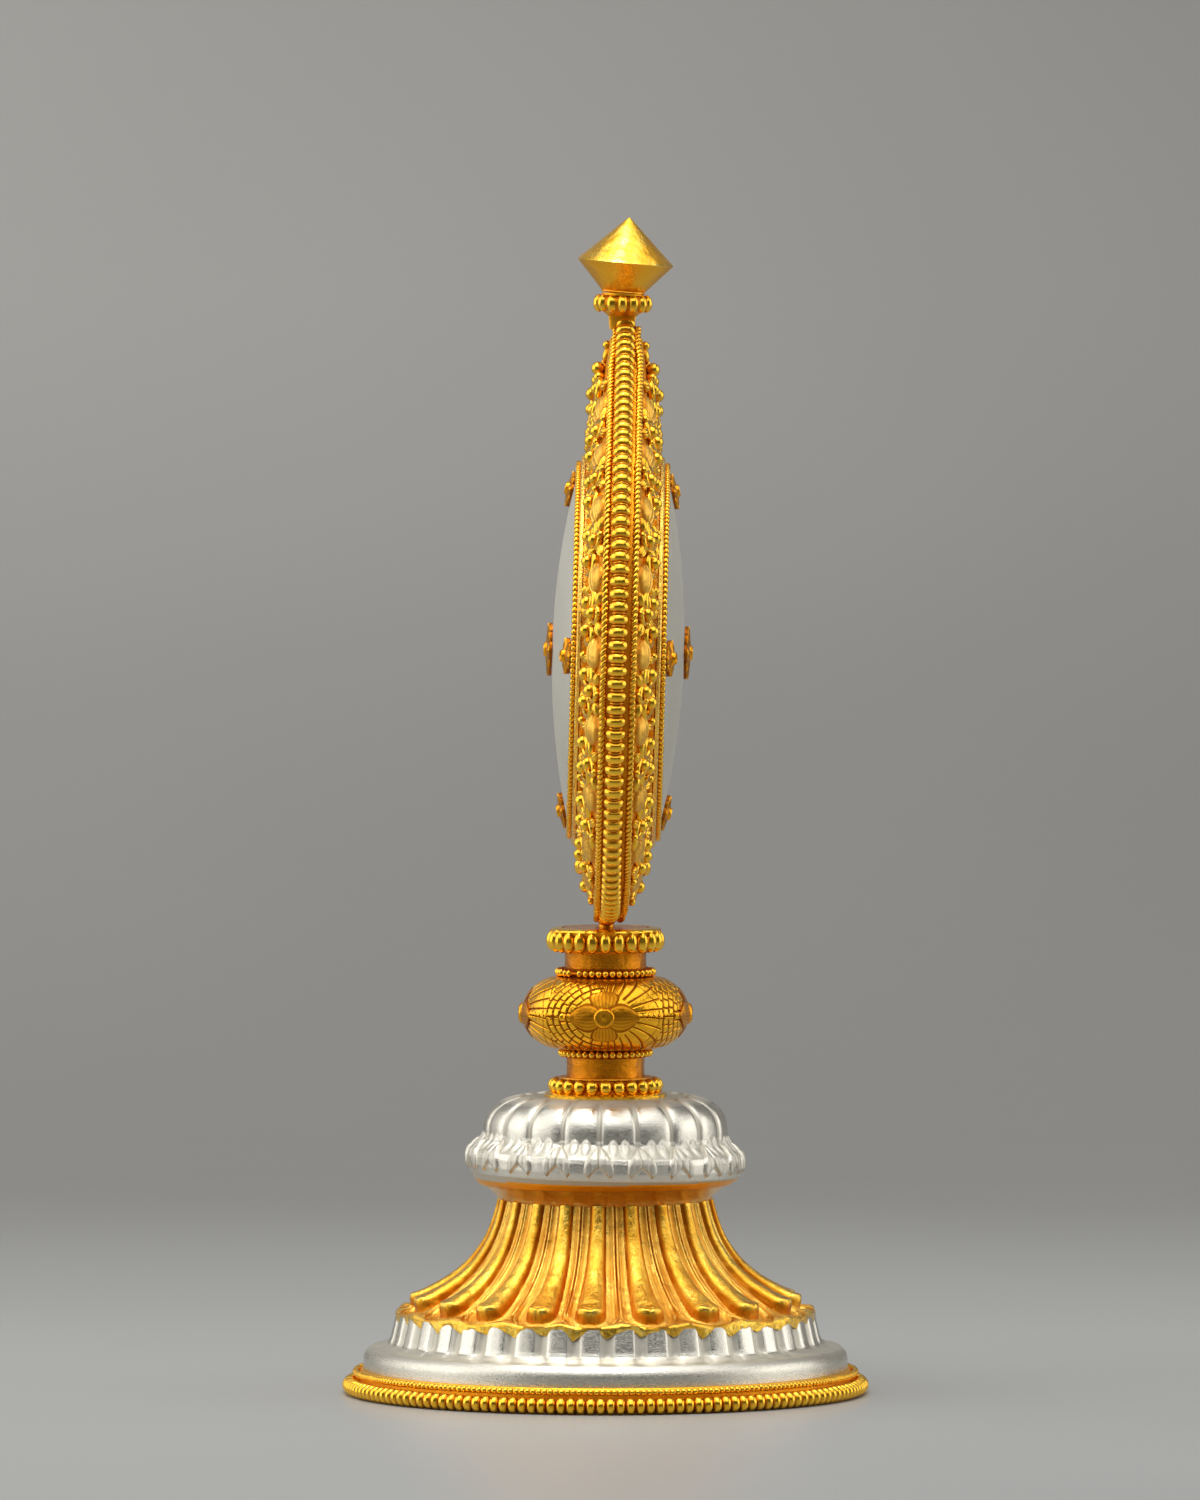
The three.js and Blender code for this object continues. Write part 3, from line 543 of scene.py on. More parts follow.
class MIRROR_OT_finishes(bpy.types.Operator):
    """Make the gold, silver and steel finishes"""

    bl_idname = "ritual_mirror.finishes"
    bl_label = "Finishes"

    def execute(self, context):
        f = context.scene.mirror_finishes
        level, around, drawn = (1.0, 1.0, 1.0), (1.0, 1.0, 9.0), (6.0, 6.0, 1.0)
        # Painted shade: each finish's second colour fills its hollows, except on silver, where the frosted colour is
        # real
        gold, deep, tight, wide = f.gold, f.painted_shade_gold, (0.47, 0.5), (0.3, 0.4)
        FINISH["gold"] = worn_metal_with_painted_shade("gilding", gold, deep, 0.18, 0.45, level, 0.4, hollow=(0.42, 0.51))
        FINISH["ribs"] = worn_metal_with_painted_shade("rib_gilding", gold, deep, 0.15, 0.4, drawn, 0.8, wear=1.3, painted_highlight=f.painted_highlight_gold)
        FINISH["beads"] = worn_metal_with_painted_shade("bead_gilding", gold, deep, 0.16, 0.5, level, 0.25, wear=0.5, hollow=tight)
        FINISH["wire"] = worn_metal_with_painted_shade("wire_gilding", gold, deep, 0.18, 0.45, level, 0.3, wear=0.4, hollow=(0.43, 0.49))
        FINISH["satin"] = worn_metal_with_painted_shade("satin_gilding", gold, f.amber_gold, 0.24, 0.5, around, 0.5)
        FINISH["amber"] = worn_metal_with_painted_shade("amber_gilding", f.amber_gold, deep, 0.14, 0.26, around, 0.8)
        FINISH["jewel"] = worn_metal_with_painted_shade(
            "jewel_gilding", gold, f.amber_gold, 0.24, 0.4, (1.0, 1.0, 0.3), 0.7, 0.0005, wear=1.4, painted_highlight=f.painted_highlight_gold
        )
        FINISH["engraved"] = worn_metal_with_painted_shade(
            "engraved_gilding", f.knop_gold, f.groove_shade_gold, 0.2, 0.5, level, 0.5, wear=0.5, hollow=wide
        )
        FINISH["petal"] = worn_metal_with_painted_shade(
            "petal_gilding", f.amber_gold, f.groove_shade_gold, 0.26, 0.44, level, 0.6, wear=0.6, hollow=wide
        )
        FINISH["border"] = worn_metal_with_painted_shade(
            "border_gilding", f.pale_gold, f.pale_shade_gold, 0.22, 0.46, drawn, 1.0, wear=1.2, painted_highlight=f.painted_highlight_gold
        )
        FINISH["leaf"] = worn_metal_with_painted_shade("leaf_gilding", f.pale_gold, f.pale_shade_gold, 0.4, 0.5, level, 0.8)
        FINISH["silver"] = worn_metal_with_painted_shade(
            "worked_silver", f.silver, f.white_silver, 0.14, 0.6, around, 0.6, 0.00012, wear=0.4, hollow=wide
        )
        FINISH["mirror"] = worn_metal_with_painted_shade("brushed_mirror", f.mirror, f.mirror, 0.3, 0.4, (9.0, 9.0, 1.0), 0.5, 0.00008)
        FINISH["wash"] = worn_metal_with_painted_shade("gold_wash", f.wash, f.amber_gold, 0.2, 0.36, around, 0.7, hollow=wide)
        FINISH["steel"] = worn_metal_with_painted_shade("hidden_steel", f.steel, f.steel, 0.4, 0.6, level, 0.3)
        return {"FINISHED"}


def dress_node(node, finish):
    """Gives a kept node its finish."""
    slots = frame["nodes"][node].data.materials
    slots.clear()
    slots.append(FINISH[finish])


# Foot and plinth


class MIRROR_OT_foot(bpy.types.Operator):
    """Build the beaded foot and its flange"""

    bl_idname = "ritual_mirror.foot"
    bl_label = "Foot"

    def execute(self, context):
        s = in_mm(context.scene.mirror_foot)
        ring = reach_of("foot_bead_ring") - s.bead_radius
        path = ring_path(ring, s.bead_radius)
        skin = Skin()
        size = s.bead_radius * 0.985
        skin.beaded_wire(path, TURN * ring, s.bead_count, ROUND_BEAD, (size, size), sides=16, wobble=0.03)
        piece("foot_beads", skin, "beads", "stand", ["foot_bead_ring"])

        fine = reach_of("foot_rope_ring") - s.rope_radius
        level = (foot_of("foot_rope_ring") + top_of("foot_rope_ring")) / 2
        skin = Skin()
        sizes = (s.rope_radius, s.rope_radius)
        skin.beaded_wire(ring_path(fine, level), TURN * fine, s.rope_count, GRAIN, sizes, sides=10, wobble=0.05)
        piece("foot_fine_beads", skin, "beads", "stand", ["foot_rope_ring"])

        edge, top = reach_of("foot_flange"), top_of("foot_flange")
        lip, wall = 6.2, 1.8
        outline = [
            (edge - lip, 0),
            (edge - 0.3, 0),
            (edge, 0.4),
            (edge, top - 0.5),
            (edge - 0.35, top - 0.05),
            (edge - wall, top),
            (edge - wall, 1.4),
            (edge - lip, 1.4),
        ]
        skin = Skin()
        skin.turned(200, lambda angle: [(r, z, 0.5) for r, z in outline])
        piece("foot_flange_smooth", skin, "satin", "stand", ["foot_flange"], crease=30)
        dress_node("foot_plate", "wash")
        return {"FINISHED"}


class MIRROR_OT_plinth(bpy.types.Operator):
    """Build the silver plinth with its rounded shoulder and upright panels"""

    bl_idname = "ritual_mirror.plinth"
    bl_label = "Plinth"

    panel_share = 0.31  # half a panel's width as a share of its pitch

    def relief(self, share, swell):
        """Height and shade across one panel and its groove. share is 0 in the panel's middle."""
        side = abs(share)
        if side < self.panel_share:
            bulge = 1 - (side / self.panel_share) ** 3.6
            return swell * (0.35 + 0.65 * bulge), 1.0
        across = (side - self.panel_share) / (0.5 - self.panel_share)
        edge = 0.16 * line(across - 0.16, 0.2)
        return edge - 0.12 - 0.3 * smooth(across, 0.2, 1.0), 0.12 + 0.3 * line(across - 0.16, 0.2)

    def execute(self, context):
        s = in_mm(context.scene.mirror_plinth)
        foot, top, radius = foot_of("plinth"), top_of("plinth"), reach_of("plinth")
        shoulder = arc(radius - 2.9, foot + 1.9, 2.9, 2.9, 0, 60, 12)
        rise = [(47.5, 10.05), (46.6, 10.55), (46.0, 11.2), (45.6, 12.2), (44.5, top)]
        outer = evenly([(radius, foot), *shoulder, *rise], 0.28)
        outward = normals(outer)
        inner = [(42.3, top), (43.4, 11.4), (46.2, 9.0), (radius - 3.4, foot + 2.2), (radius - 1.2, foot)]

        def outline(angle):
            share = ((angle - s.panel_turn) * s.panels / TURN + 0.5) % 1.0 - 0.5
            height, shade = self.relief(share, s.panel_swell)
            foot_arch = foot + 5.3 + 3.2 * max(0.0, abs(share) - 0.12) ** 2
            bump = 0.22 * dome(share / 0.34)
            points = []
            for (r, z), (nr, nz) in zip(outer, outward):
                on_panel = smooth(z, foot_arch - 0.3, foot_arch + 0.55)
                on_shoulder = 0.75 - 0.4 * smooth(z, foot + 3.4, foot + 4.6)
                away = (height - 0.35) * on_panel + bump * dome((z - foot - 4.95) / 0.55)
                points.append((r + nr * away, z + nz * away, mix(on_shoulder, shade, on_panel)))
            return points + inner

        skin = Skin()
        skin.turned(s.panels * 26, outline)
        piece("plinth_silver", skin, "silver", "stand", ["plinth"], crease=60)
        return {"FINISHED"}


# Lotus

# Height of a petal's rib over its troughs, at shares of the way from the neck to the toe's end
RIB_HEIGHTS = ((0.0, 0.7), (0.27, 0.8), (0.48, 1.15), (0.71, 1.7), (0.79, 1.9), (0.87, 2.0), (0.95, 2.3), (1, 2.5))
# How far each hand-made petal stands off its even place, in degrees, from the first petal round
PETAL_SHIFTS = (-0.7, -0.5, 0.6, -0.9, 2.0, 2.4, 1.0, -1.0, 0.5, 0, -1.2, 0.8, 0, 1.0, -0.6, 0.4, 0, 2.2, 1.4, 1.6)


class Petals:
    """The petals' own surface: ribs that end in upturned toes, with a trough round each."""

    bell_sharpness = 2.4
    lip_height = 0.7
    trough_lift = 0.5
    trough_width = 3.0

    def __init__(self, s):
        self.s = s
        self.foot, self.top = foot_of("lotus_skirt"), top_of("lotus_skirt")
        self.lip = reach_of("lotus_skirt") + 0.1
        low = self.foot + self.lip_height + self.trough_lift
        outline = []
        for i in range(25):
            z = mix(self.top, low, (i / 24) ** 0.8)
            outline.append((self.bell_radius(z, low), z))
        outline += [(self.lip - 1.1, self.foot + self.lip_height + 0.16), (self.lip, self.foot + self.lip_height)]
        self.bell = evenly(outline, 0.29)
        self.outward = [(-nr, -nz) for nr, nz in normals(self.bell)]
        self.run = [0.0]
        for (r0, z0), (r1, z1) in zip(self.bell, self.bell[1:]):
            self.run.append(self.run[-1] + math.hypot(r1 - r0, z1 - z0))
        self.toe_end = next(d for d, (r, z) in zip(self.run, self.bell) if r > s.toe_radius)
        self.toe_centre = self.toe_end - s.rib_at_toe

    def bell_radius(self, z, low):
        share = (z - low) / (self.top - low)
        tail = math.exp(-self.bell_sharpness)
        fall = (math.exp(-self.bell_sharpness * share) - tail) / (1 - tail)
        return self.s.neck_radius + (self.s.toe_radius + 0.6 - self.s.neck_radius) * fall

    def rib_half(self, distance):
        share = min(1.0, distance / self.toe_centre)
        return mix(self.s.rib_at_neck, self.s.rib_at_toe, share**1.7)

    def relief(self, distance, across, half_pitch):
        """Height over the bell, painted shade, and whether the point is on the rib."""
        half = self.rib_half(distance)
        beyond = max(0.0, distance - self.toe_centre)
        away = (beyond**2.2 + abs(across) ** 2.2) ** (1 / 2.2) - half
        near_toe = smooth(distance, self.toe_centre - 8, self.toe_end - 0.5)
        gap = self.trough_width if beyond else min(self.trough_width, half_pitch - half)
        if away < 0:
            inside = 1 + away / half
            height = lookup(RIB_HEIGHTS, distance / self.toe_end)
            height *= (1 - inside ** mix(2.2, 4.4, near_toe)) ** 0.6
            height += 0.3 * line(away + 0.9, 0.6) * smooth(beyond, 0.3, 1.6)
            height -= 0.3 * line(across, 0.5) * smooth(beyond, 1.2, 2.4)
            # Painted shade: the rib darkens towards its edge
            return height, smooth(-away, -0.1, 0.8), True
        share = min(1.0, away / gap)
        depth = mix(0.3, 1.0, near_toe)
        height = -depth * math.sin(math.pi * min(1.0, share * 0.93 + 0.07)) ** 0.7
        ridge = mix(0.26, 0.5, near_toe) * line(away - gap + 0.4, 0.34)
        seam = 0.4 * line(away - gap, 0.22) + 0.25 * line(away - 0.12, 0.25)
        # Painted shade: dark in the grooves at both sides of the trough, along a fine line down its middle that has no
        # groove, and on the shelf near the outer groove
        shade = smooth(away, 0.1, 0.45) * (1 - line(away - gap, 0.3)) * (1 - 0.7 * line(away - 0.5 * gap, 0.24))
        if away > gap:
            height += 0.25 * smooth(away - gap, 0.1, 0.7)
            shade = 0.45 + 0.4 * smooth(away - gap, 0.3, 0.8)
        return height + ridge - seam, shade, False


class MIRROR_OT_skirt(bpy.types.Operator):
    """Build the lotus skirt: polished ribs with upturned toes in troughed borders"""

    bl_idname = "ritual_mirror.skirt"
    bl_label = "Lotus skirt"

    def execute(self, context):
        s = in_mm(context.scene.mirror_skirt)
        petals = Petals(s)
        pitch = TURN / s.petals
        centres = [s.petal_turn + pitch * k + math.radians(PETAL_SHIFTS[k % 20]) for k in range(s.petals)]
        foot, lip = petals.foot, petals.lip
        under = [(r - 1.5, z - 0.8) for r, z in petals.bell[::-12][1:-1]] + [(s.neck_radius - 1.1, petals.top)]
        columns, last = 56, len(petals.bell) - 1
        sections, shades, on_rib = [], [], []
        for k in range(s.petals):
            even = s.petal_turn + pitch * k
            before = (centres[k - 1] - (TURN if k == 0 else 0) + centres[k]) / 2
            after = (centres[(k + 1) % s.petals] + (TURN if k == s.petals - 1 else 0) + centres[k]) / 2
            for c in range(columns):
                share = c / columns
                section = []
                for (r, z), (nr, nz), d in zip(petals.bell, petals.outward, petals.run):
                    spread = smooth(d, 0, petals.toe_centre)
                    centre = mix(even, centres[k], spread)
                    low, high = mix(even - pitch / 2, before, spread), mix(even + pitch / 2, after, spread)
                    angle = mix(low, high, share)
                    half_pitch = (centre - low if angle < centre else high - centre) * r
                    height, shade, rib = petals.relief(d, (angle - centre) * r, half_pitch)
                    height *= 1 - smooth(d, petals.run[-1] - 0.9, petals.run[-1])
                    wave = 0.75 * (abs(2 * share - 1) ** 1.6 - 0.4) * smooth(d, petals.run[-1] - 3, petals.run[-1])
                    section.append(on_circle(r + nr * height, z + nz * height + wave, angle))
                    shades.append(shade)
                    on_rib.append(rib)
                rough = noise.noise(on_circle(11, 0, angle))
                tip = 1 - 2 * abs((2 * share + 0.12 * rough) % 1.0 - 0.5)
                droop = 0.45 + (1.4 + 1.1 * rough) * tip**1.3
                out = lip + 0.14 + 0.3 * rough
                hem = [(out, foot + 0.1 + wave), (out - 0.04, foot - droop), (out - 0.34, foot - droop - 0.1)]
                hem += [(lip - 0.3, foot + 0.02), (lip - 1.9, foot + 0.02), *under]
                section.extend(on_circle(r, z, angle) for r, z in hem)
                # Painted shade: the hem's underside and the inside of the skirt are darker than its tips
                shades.extend([0.9, 1.0] + [0.4] * (len(hem) - 2))
                on_rib.extend([False] * len(hem))
                sections.append(section)
        skin = Skin()
        skin.sweep(sections, shades=shades)
        row = last + 1 + len(hem)

        def bordered(index):
            return index % row < last and not on_rib[index]

        piece(
            "skirt_petals", skin, "ribs", "stand", ["lotus_skirt"], crease=70, border=("border", bordered)
        )
        return {"FINISHED"}


# Half width of the leaf under a valley of the cup, at heights above the cup's foot
LEAF_WIDTHS = ((3.0, 3.2), (5.0, 3.2), (6.2, 2.9), (7.4, 2.1), (8.6, 1.0), (9.6, 0.35))


class MIRROR_OT_cup(bpy.types.Operator):
    """Build the lobed silver cup and its gilded throat"""

    bl_idname = "ritual_mirror.cup"
    bl_label = "Lotus cup"

    def lobe_relief(self, s, lobe, tip, r, level):
        """Height and shade on the cup. lobe is 0 in a lobe's middle and 1 in the valley beside it."""
        aside = (1 - lobe) * math.pi * r / 20
        on_dome = smooth(level, 8.4, 10.0)
        arch = smooth(r, 16.6 + 3.6 * lobe**3, 18.0 + 4.2 * lobe**3) if level > 10.4 else 1.0
        valley = s.lobe_swell * (1 - (1 - lobe**4.4) ** 0.65) - 0.5 * line(aside, 0.28)
        height = -on_dome * (0.5 * (1 - arch) + valley * arch)
        burnish = smooth(level, 8.6, 10.6) * (1 - smooth(level, 16.8, 18.4)) * smooth(aside, 0.3, 0.8)
        shade = 0.05 + 0.9 * burnish

        finger = 1 - ((lobe - 0.3) / 0.27) ** 2 - ((level - 9.1) / 1.9) ** 2
        if finger > 0:
            height += 0.42 * smooth(finger, 0.0, 0.8)
            shade = 0.4

        leaf = lookup(LEAF_WIDTHS, level)
        edge = 3.0 + 2.2 * abs(tip) ** 0.8
        on_leaf = smooth(leaf - aside, 0.0, 0.45) * smooth(level, edge, edge + 0.3) * smooth(9.9 - level, 0, 0.6)
        height += on_leaf * (0.62 - 0.3 * line(aside, 0.34) - 0.14 * line(aside - 1.5, 0.3))
        knot = 0.5 * line(level - 10.0, 0.4) * line(aside, 1.1)
        if on_leaf > 0.5:
            shade = 0.4
        elif 2.2 < level < 7:
            shade = 0.85
        return height + knot, shade

    def execute(self, context):
        s = in_mm(context.scene.mirror_cup)
        petals = context.scene.mirror_skirt.petals
        foot, top = foot_of("lotus_cup"), top_of("lotus_cup")
        crown = []
        for i in range(31):
            rise = math.radians(88 * i / 30)
            full_r, full_z = math.cos(rise) ** 0.77, math.sin(rise) ** 0.77
            crown.append((14 + 12 * full_r, foot + 10.4 + (top - foot - 10.4) * full_z))
        lip = [(26.8, 0), (28.0, 1.1), (28.8, 2.4), (29.2, 3.8), (29.25, 5.8)]
        lip += [(28.9, 6.9), (27.8, 7.9), (26.6, 8.9), (26.05, 9.8)]
        outer = evenly([(r, foot + level) for r, level in lip] + crown, 0.3)
        outward = normals(outer)
        inner = [(2.8, top), (2.8, top - 1.2), (14, top - 1.2), (21, top - 5), (24, foot + 10), (25.6, foot)]

        def outline(angle):
            turn = angle - s.lobe_turn
            lobe = abs((turn * petals / TURN + 0.5) % 1.0 - 0.5) * 2
            tip = ((turn * 2 * petals / TURN) % 1.0 - 0.5) * 2
            points = []
            for (r, z), (nr, nz) in zip(outer, outward):
                level = z - foot
                height, shade = self.lobe_relief(s, lobe, tip, r, level)
                lean = s.lip_lean * math.sin(angle) * smooth(level, 0, 2.5) * (1 - smooth(level, 8, 15))
                points.append((r + nr * height, z + nz * height - lean, shade))
            return points + inner

        skin = Skin()
        skin.turned(petals * 52, outline)
        row = len(outer) + len(inner)
        wash_top = foot + 1.3

        def washed(index):
            return index % row < len(outer) and skin.vertices[index].z < wash_top

        piece("cup_lobes", skin, "silver", "stand", ["lotus_cup"], crease=60, border=("wash", washed))

        low, high = foot_of("cup_throat"), top_of("cup_throat")
        cove = evenly([(22.5, low), (23.1, low + 0.9), (23.9, low + 1.7), (25.2, low + 2.6), (26.75, high - 0.02)], 0.4)
        inside = [(25.6, high - 0.02), (22.4, high - 1.4), (21.3, low)]

        def throat(angle):
            rough = noise.noise(on_circle(6, 0, angle))
            wave = 0.12 * math.sin(angle * 7) + 0.12 * rough
            return [(r + wave * smooth(high - z, 0, 2), z) for r, z in cove] + inside

        skin = Skin()
        skin.turned(160, throat)
        piece("throat_wash", skin, "wash", "stand", ["cup_throat"])
        return {"FINISHED"}


# Stem


def bead_ring(skin, radius, level, count, sizes, skip=None, wobble=0.05, **mesh):
    """Separate beads round the axis. The one nearest to the skipped angle is left out."""
    missing = None if skip is None else round(skip / TURN * count) % count
    for i in range(count):
        if i == missing:
            continue
        out = on_circle(1, 0, TURN * i / count)
        shift = noise.noise(out * 9) * wobble
        skin.bead(out * (radius + shift) + UP * (level + shift), out, UP, sizes, **mesh)


class Knop:
    """The knop's round outline between its two mouths."""

    mouth_radius = 10.0
    end_rise = 1.9

    def __init__(self, s):
        self.radius = s.knop_radius
        self.equator = top_of("knop_lower")
        self.low = foot_of("knop_lower") + self.end_rise
        self.high = top_of("knop_upper") - self.end_rise

    def radius_at(self, z):
        height = self.high - self.equator if z > self.equator else self.equator - self.low
        reach = min(1.0, abs(z - self.equator) / height)
        return self.mouth_radius + (self.radius - self.mouth_radius) * (1 - reach**2) ** 0.5


class MIRROR_OT_stem(bpy.types.Operator):
    """Build the collars, necks and bead wires of the stem"""

    bl_idname = "ritual_mirror.stem"
    bl_label = "Stem"

    def lower_collar(self, s):
        low, high = foot_of("lower_bead_collar"), top_of("lower_bead_collar") + 0.4
        middle = (low + high) / 2 + 0.1
        ledge = [(6.9, low - 0.6), (12.9, low - 0.6), (12.9, low + 0.1), (12.3, low + 0.5), (11.4, low + 0.6)]
        band = [(10.2, middle), (9.9, high - 0.6), (10.1, high - 0.35), (9.9, high - 0.02), (9.4, high), (6.9, high)]

        def outline(angle):
            rough = 0.3 * noise.noise(on_circle(9, 0, angle))
            points = [(r + rough * (r > 12), z, 0.9) for r, z in ledge]
            # Painted shade: the band behind the beads is darker than the ledge
            return points + [(r, z, 0.35) for r, z in band]

        skin = Skin()
        skin.turned(120, outline)
        bead_ring(skin, 10.75, middle - 0.1, s.lower_beads, (1.5, 1.72, 1.4), columns=24, rows=16)
        piece("lower_collar_beads", skin, "beads", "stand", ["lower_bead_collar"], crease=40)

    def socket_collar(self, s):
        low, high = foot_of("socket_collar"), top_of("socket_collar")
        middle = low + 2.3
        band = [(7.3, low), (10.7, low), (11.1, low + 0.4), (11.0, middle), (11.2, middle + 1.2)]
        # Painted shade: the band behind the beads and the inside of the bore are darker
        band = [(r, z, 0.25) for r, z in band]
        band += [(11.6, high - 1.0, 0.7), (11.85, high - 0.7, 1), (11.75, high - 0.4, 1), (11.3, high - 0.12, 1)]
        band += [(10.8, high, 0.9), (9.3, high, 0.9), (9.3, high - 1.1, 0), (7.3, high - 1.1, 0)]

        def outline(angle):
            dent = 0.16 * noise.noise(on_circle(8, 0, angle))
            return [(r + dent * (r > 11.5), z + dent * (r > 11.5), shade) for r, z, shade in band]

        skin = Skin()
        skin.turned(240, outline)
        bead_ring(skin, 11.0, middle, s.socket_beads, (1.6, 2.3, 1.38), wobble=0.08, columns=24, rows=16)
        piece("socket_collar_beads", skin, "beads", "stand", ["socket_collar"], crease=40)

        socket, bore = reach_of("socket_cup"), 2.1
        plate = [(bore, high), (bore + 0.3, high + 0.01), (socket - 0.1, high - 0.02), (socket, high - 0.2)]
        plate += [(socket, high - 1.1), (3.7, high - 1.1), (3.7, high - 16.5), (0.01, high - 16.5)]
        plate += [(0.01, high - 14.5), (bore, high - 14.5)]
        skin = Skin()
        skin.turned(72, lambda angle: [(r, z, 0.45) for r, z in plate])
        piece("socket_plate", skin, "amber", "stand", ["socket_cup"], crease=30)

    def execute(self, context):
        s = in_mm(context.scene.mirror_stem)
        self.lower_collar(s)
        self.socket_collar(s)
        gap_in_upper = math.radians(-39.5)
        for name, beads, node, skip in (
            ("knop_lower_beads", s.lower_wire_beads, "knop_lower_wire", None),
            ("knop_upper_beads", s.upper_wire_beads, "knop_upper_wire", gap_in_upper),
        ):
            radius, level = reach_of(node) - 0.75, (foot_of(node) + top_of(node)) / 2
            skin = Skin()
            core = arc(radius - 0.1, level, 0.36, 0.36, 0, 315, 7)
            # Painted shade: the core between the beads is dark
            skin.turned(96, lambda angle: [(r, z, 0.1) for r, z in core])
            bead_ring(skin, radius, level, beads, (0.8, 0.82, 0.68), skip, 0.12, columns=14, rows=10)
            piece(name, skin, "beads", "stand", [node])

        for node in ("lower_neck", "upper_neck"):
            low, high, radius = foot_of(node), top_of(node), reach_of(node)
            neck = [(radius - 1.4, low), (radius, low), (radius - 0.06, (low + high) / 2), (radius, high)]
            neck.append((radius - 1.4, high))
            skin = Skin()
            # Painted shade: the necks, set back between collars and knop, are darkened toward the deep colour
            skin.turned(96, lambda angle: [(r, z, 0.35) for r, z in neck])
            piece(node + "_plain", skin, "amber", "stand", [node], crease=30)
        for node in ("tie_rod", "tie_washer", "tie_nut"):
            dress_node(node, "steel")
        return {"FINISHED"}


class MIRROR_OT_knop(bpy.types.Operator):
    """Build the engraved knop with its four flowers"""

    bl_idname = "ritual_mirror.knop"
    bl_label = "Knop"

    flower_turn = math.radians(-1.0)
    flower_stretch = 1.35  # the flowers and the lines round them are wider than tall
    flower_radius = 4.9

    def engraving(self, s, angle, height):
        """How deep the surface is cut, 0 to 1, round the nearest flower."""
        quarter = ((angle - self.flower_turn) / (TURN / 4) + 0.5) % 1.0 - 0.5
        x = quarter * TURN / 4 * s.knop_radius / self.flower_stretch
        distance = math.hypot(x, height)
        if distance < self.flower_radius:
            return 0.0
        heading = math.atan2(height, x) / TURN
        brick, course = 1.8, 1.3
        if x < 0:
            row = math.floor((distance - self.flower_radius) / course)
            count = round(TURN * (self.flower_radius + (row + 0.5) * course) / brick)
            joints = abs((heading * count + 0.5 * (row % 2)) % 1.0 - 0.5) * brick
            beds = abs(((distance - self.flower_radius) / course + 0.5) % 1.0 - 0.5) * course
            return max(line(0.5 * brick - joints, s.engraving_half), line(beds, s.engraving_half))
        spokes = abs((heading * 30 + distance * 0.07) % 1.0 - 0.5) * distance * TURN / 30
        rays = line(spokes, s.engraving_half)
        if distance > 9.4:
            beds = abs((distance / 1.7) % 1.0 - 0.5) * 1.7
            rays = max(rays, line(beds, s.engraving_half))
        return rays

    def half(self, s, knop, node, side):
        end = foot_of(node) if side < 0 else top_of(node)
        seat = 8.3 if side < 0 else 9.0
        mouth = end - side * knop.end_rise
        rows = 78
        swell = []
        for i in range(rows + 1):
            z = mix(knop.equator, mouth, math.sin(math.pi / 2 * i / rows))
            swell.append((knop.radius_at(z), z))
        inside = [(r - 1.3, mix(knop.equator, z, 0.86), 0) for r, z in swell[::13]]

        def outline(angle):
            quarter = abs(((angle - self.flower_turn) / (TURN / 4) + 0.5) % 1.0 - 0.5) * TURN / 4 * s.knop_radius
            seam = smooth(quarter, 6.6, 7.6)
            points = []
            for r, z in swell:
                cut = self.engraving(s, angle, z - knop.equator)
                ruffle = (0.24 + 0.2 * math.cos(angle * 88)) * dome((z - knop.equator) / 0.75) * seam
                # Painted shade: engraved lines, the knop's mouth and its inside are darkened
                points.append((r - cut * s.engraving + ruffle, z, 1 - min(1, 1.5 * cut)))
            points += [(seat + 0.4, mouth + side * 0.15, 0.3), (seat, mouth + side * 0.35, 0), (seat, end, 0)]
            points += [(seat - 1.4, end, 0), (seat - 1.4, mouth - side * 1.2, 0)]
            return points + inside[::-1]

        skin = Skin()
        skin.turned(720, outline)
        piece(node + "_engraved", skin, "engraved", "stand", [node], crease=60)

    def execute(self, context):
        s = in_mm(context.scene.mirror_stem)
        knop = Knop(s)
        self.half(s, knop, "knop_lower", -1)
        self.half(s, knop, "knop_upper", 1)
        for i in range(4):
            turn = TURN * i / 4 + self.flower_turn

            def on_knop(along, height, lift):
                z = knop.equator + height
                return on_circle(knop.radius_at(z) + lift + 0.02, z, turn + along / s.knop_radius)

            skin = Skin()
            add_petal(skin, on_knop, 5.6, 8.4, 0.3, TURN / 4, fan=True)
            add_petal(skin, on_knop, 5.3, 7.6, 0.3, -TURN / 4, fan=True)
            add_petal(skin, on_knop, 7.9, 6.2, 0.62, 0, point=0.85)
            add_petal(skin, on_knop, 7.9, 6.2, 0.62, TURN / 2, point=0.85)
            add_boss(skin, on_knop, 2.2, 1.05)
            name = f"knop_flower_{i + 1}"
            piece(name + "_petals", skin, "petal", "stand", [name], crease=60)
        return {"FINISHED"}


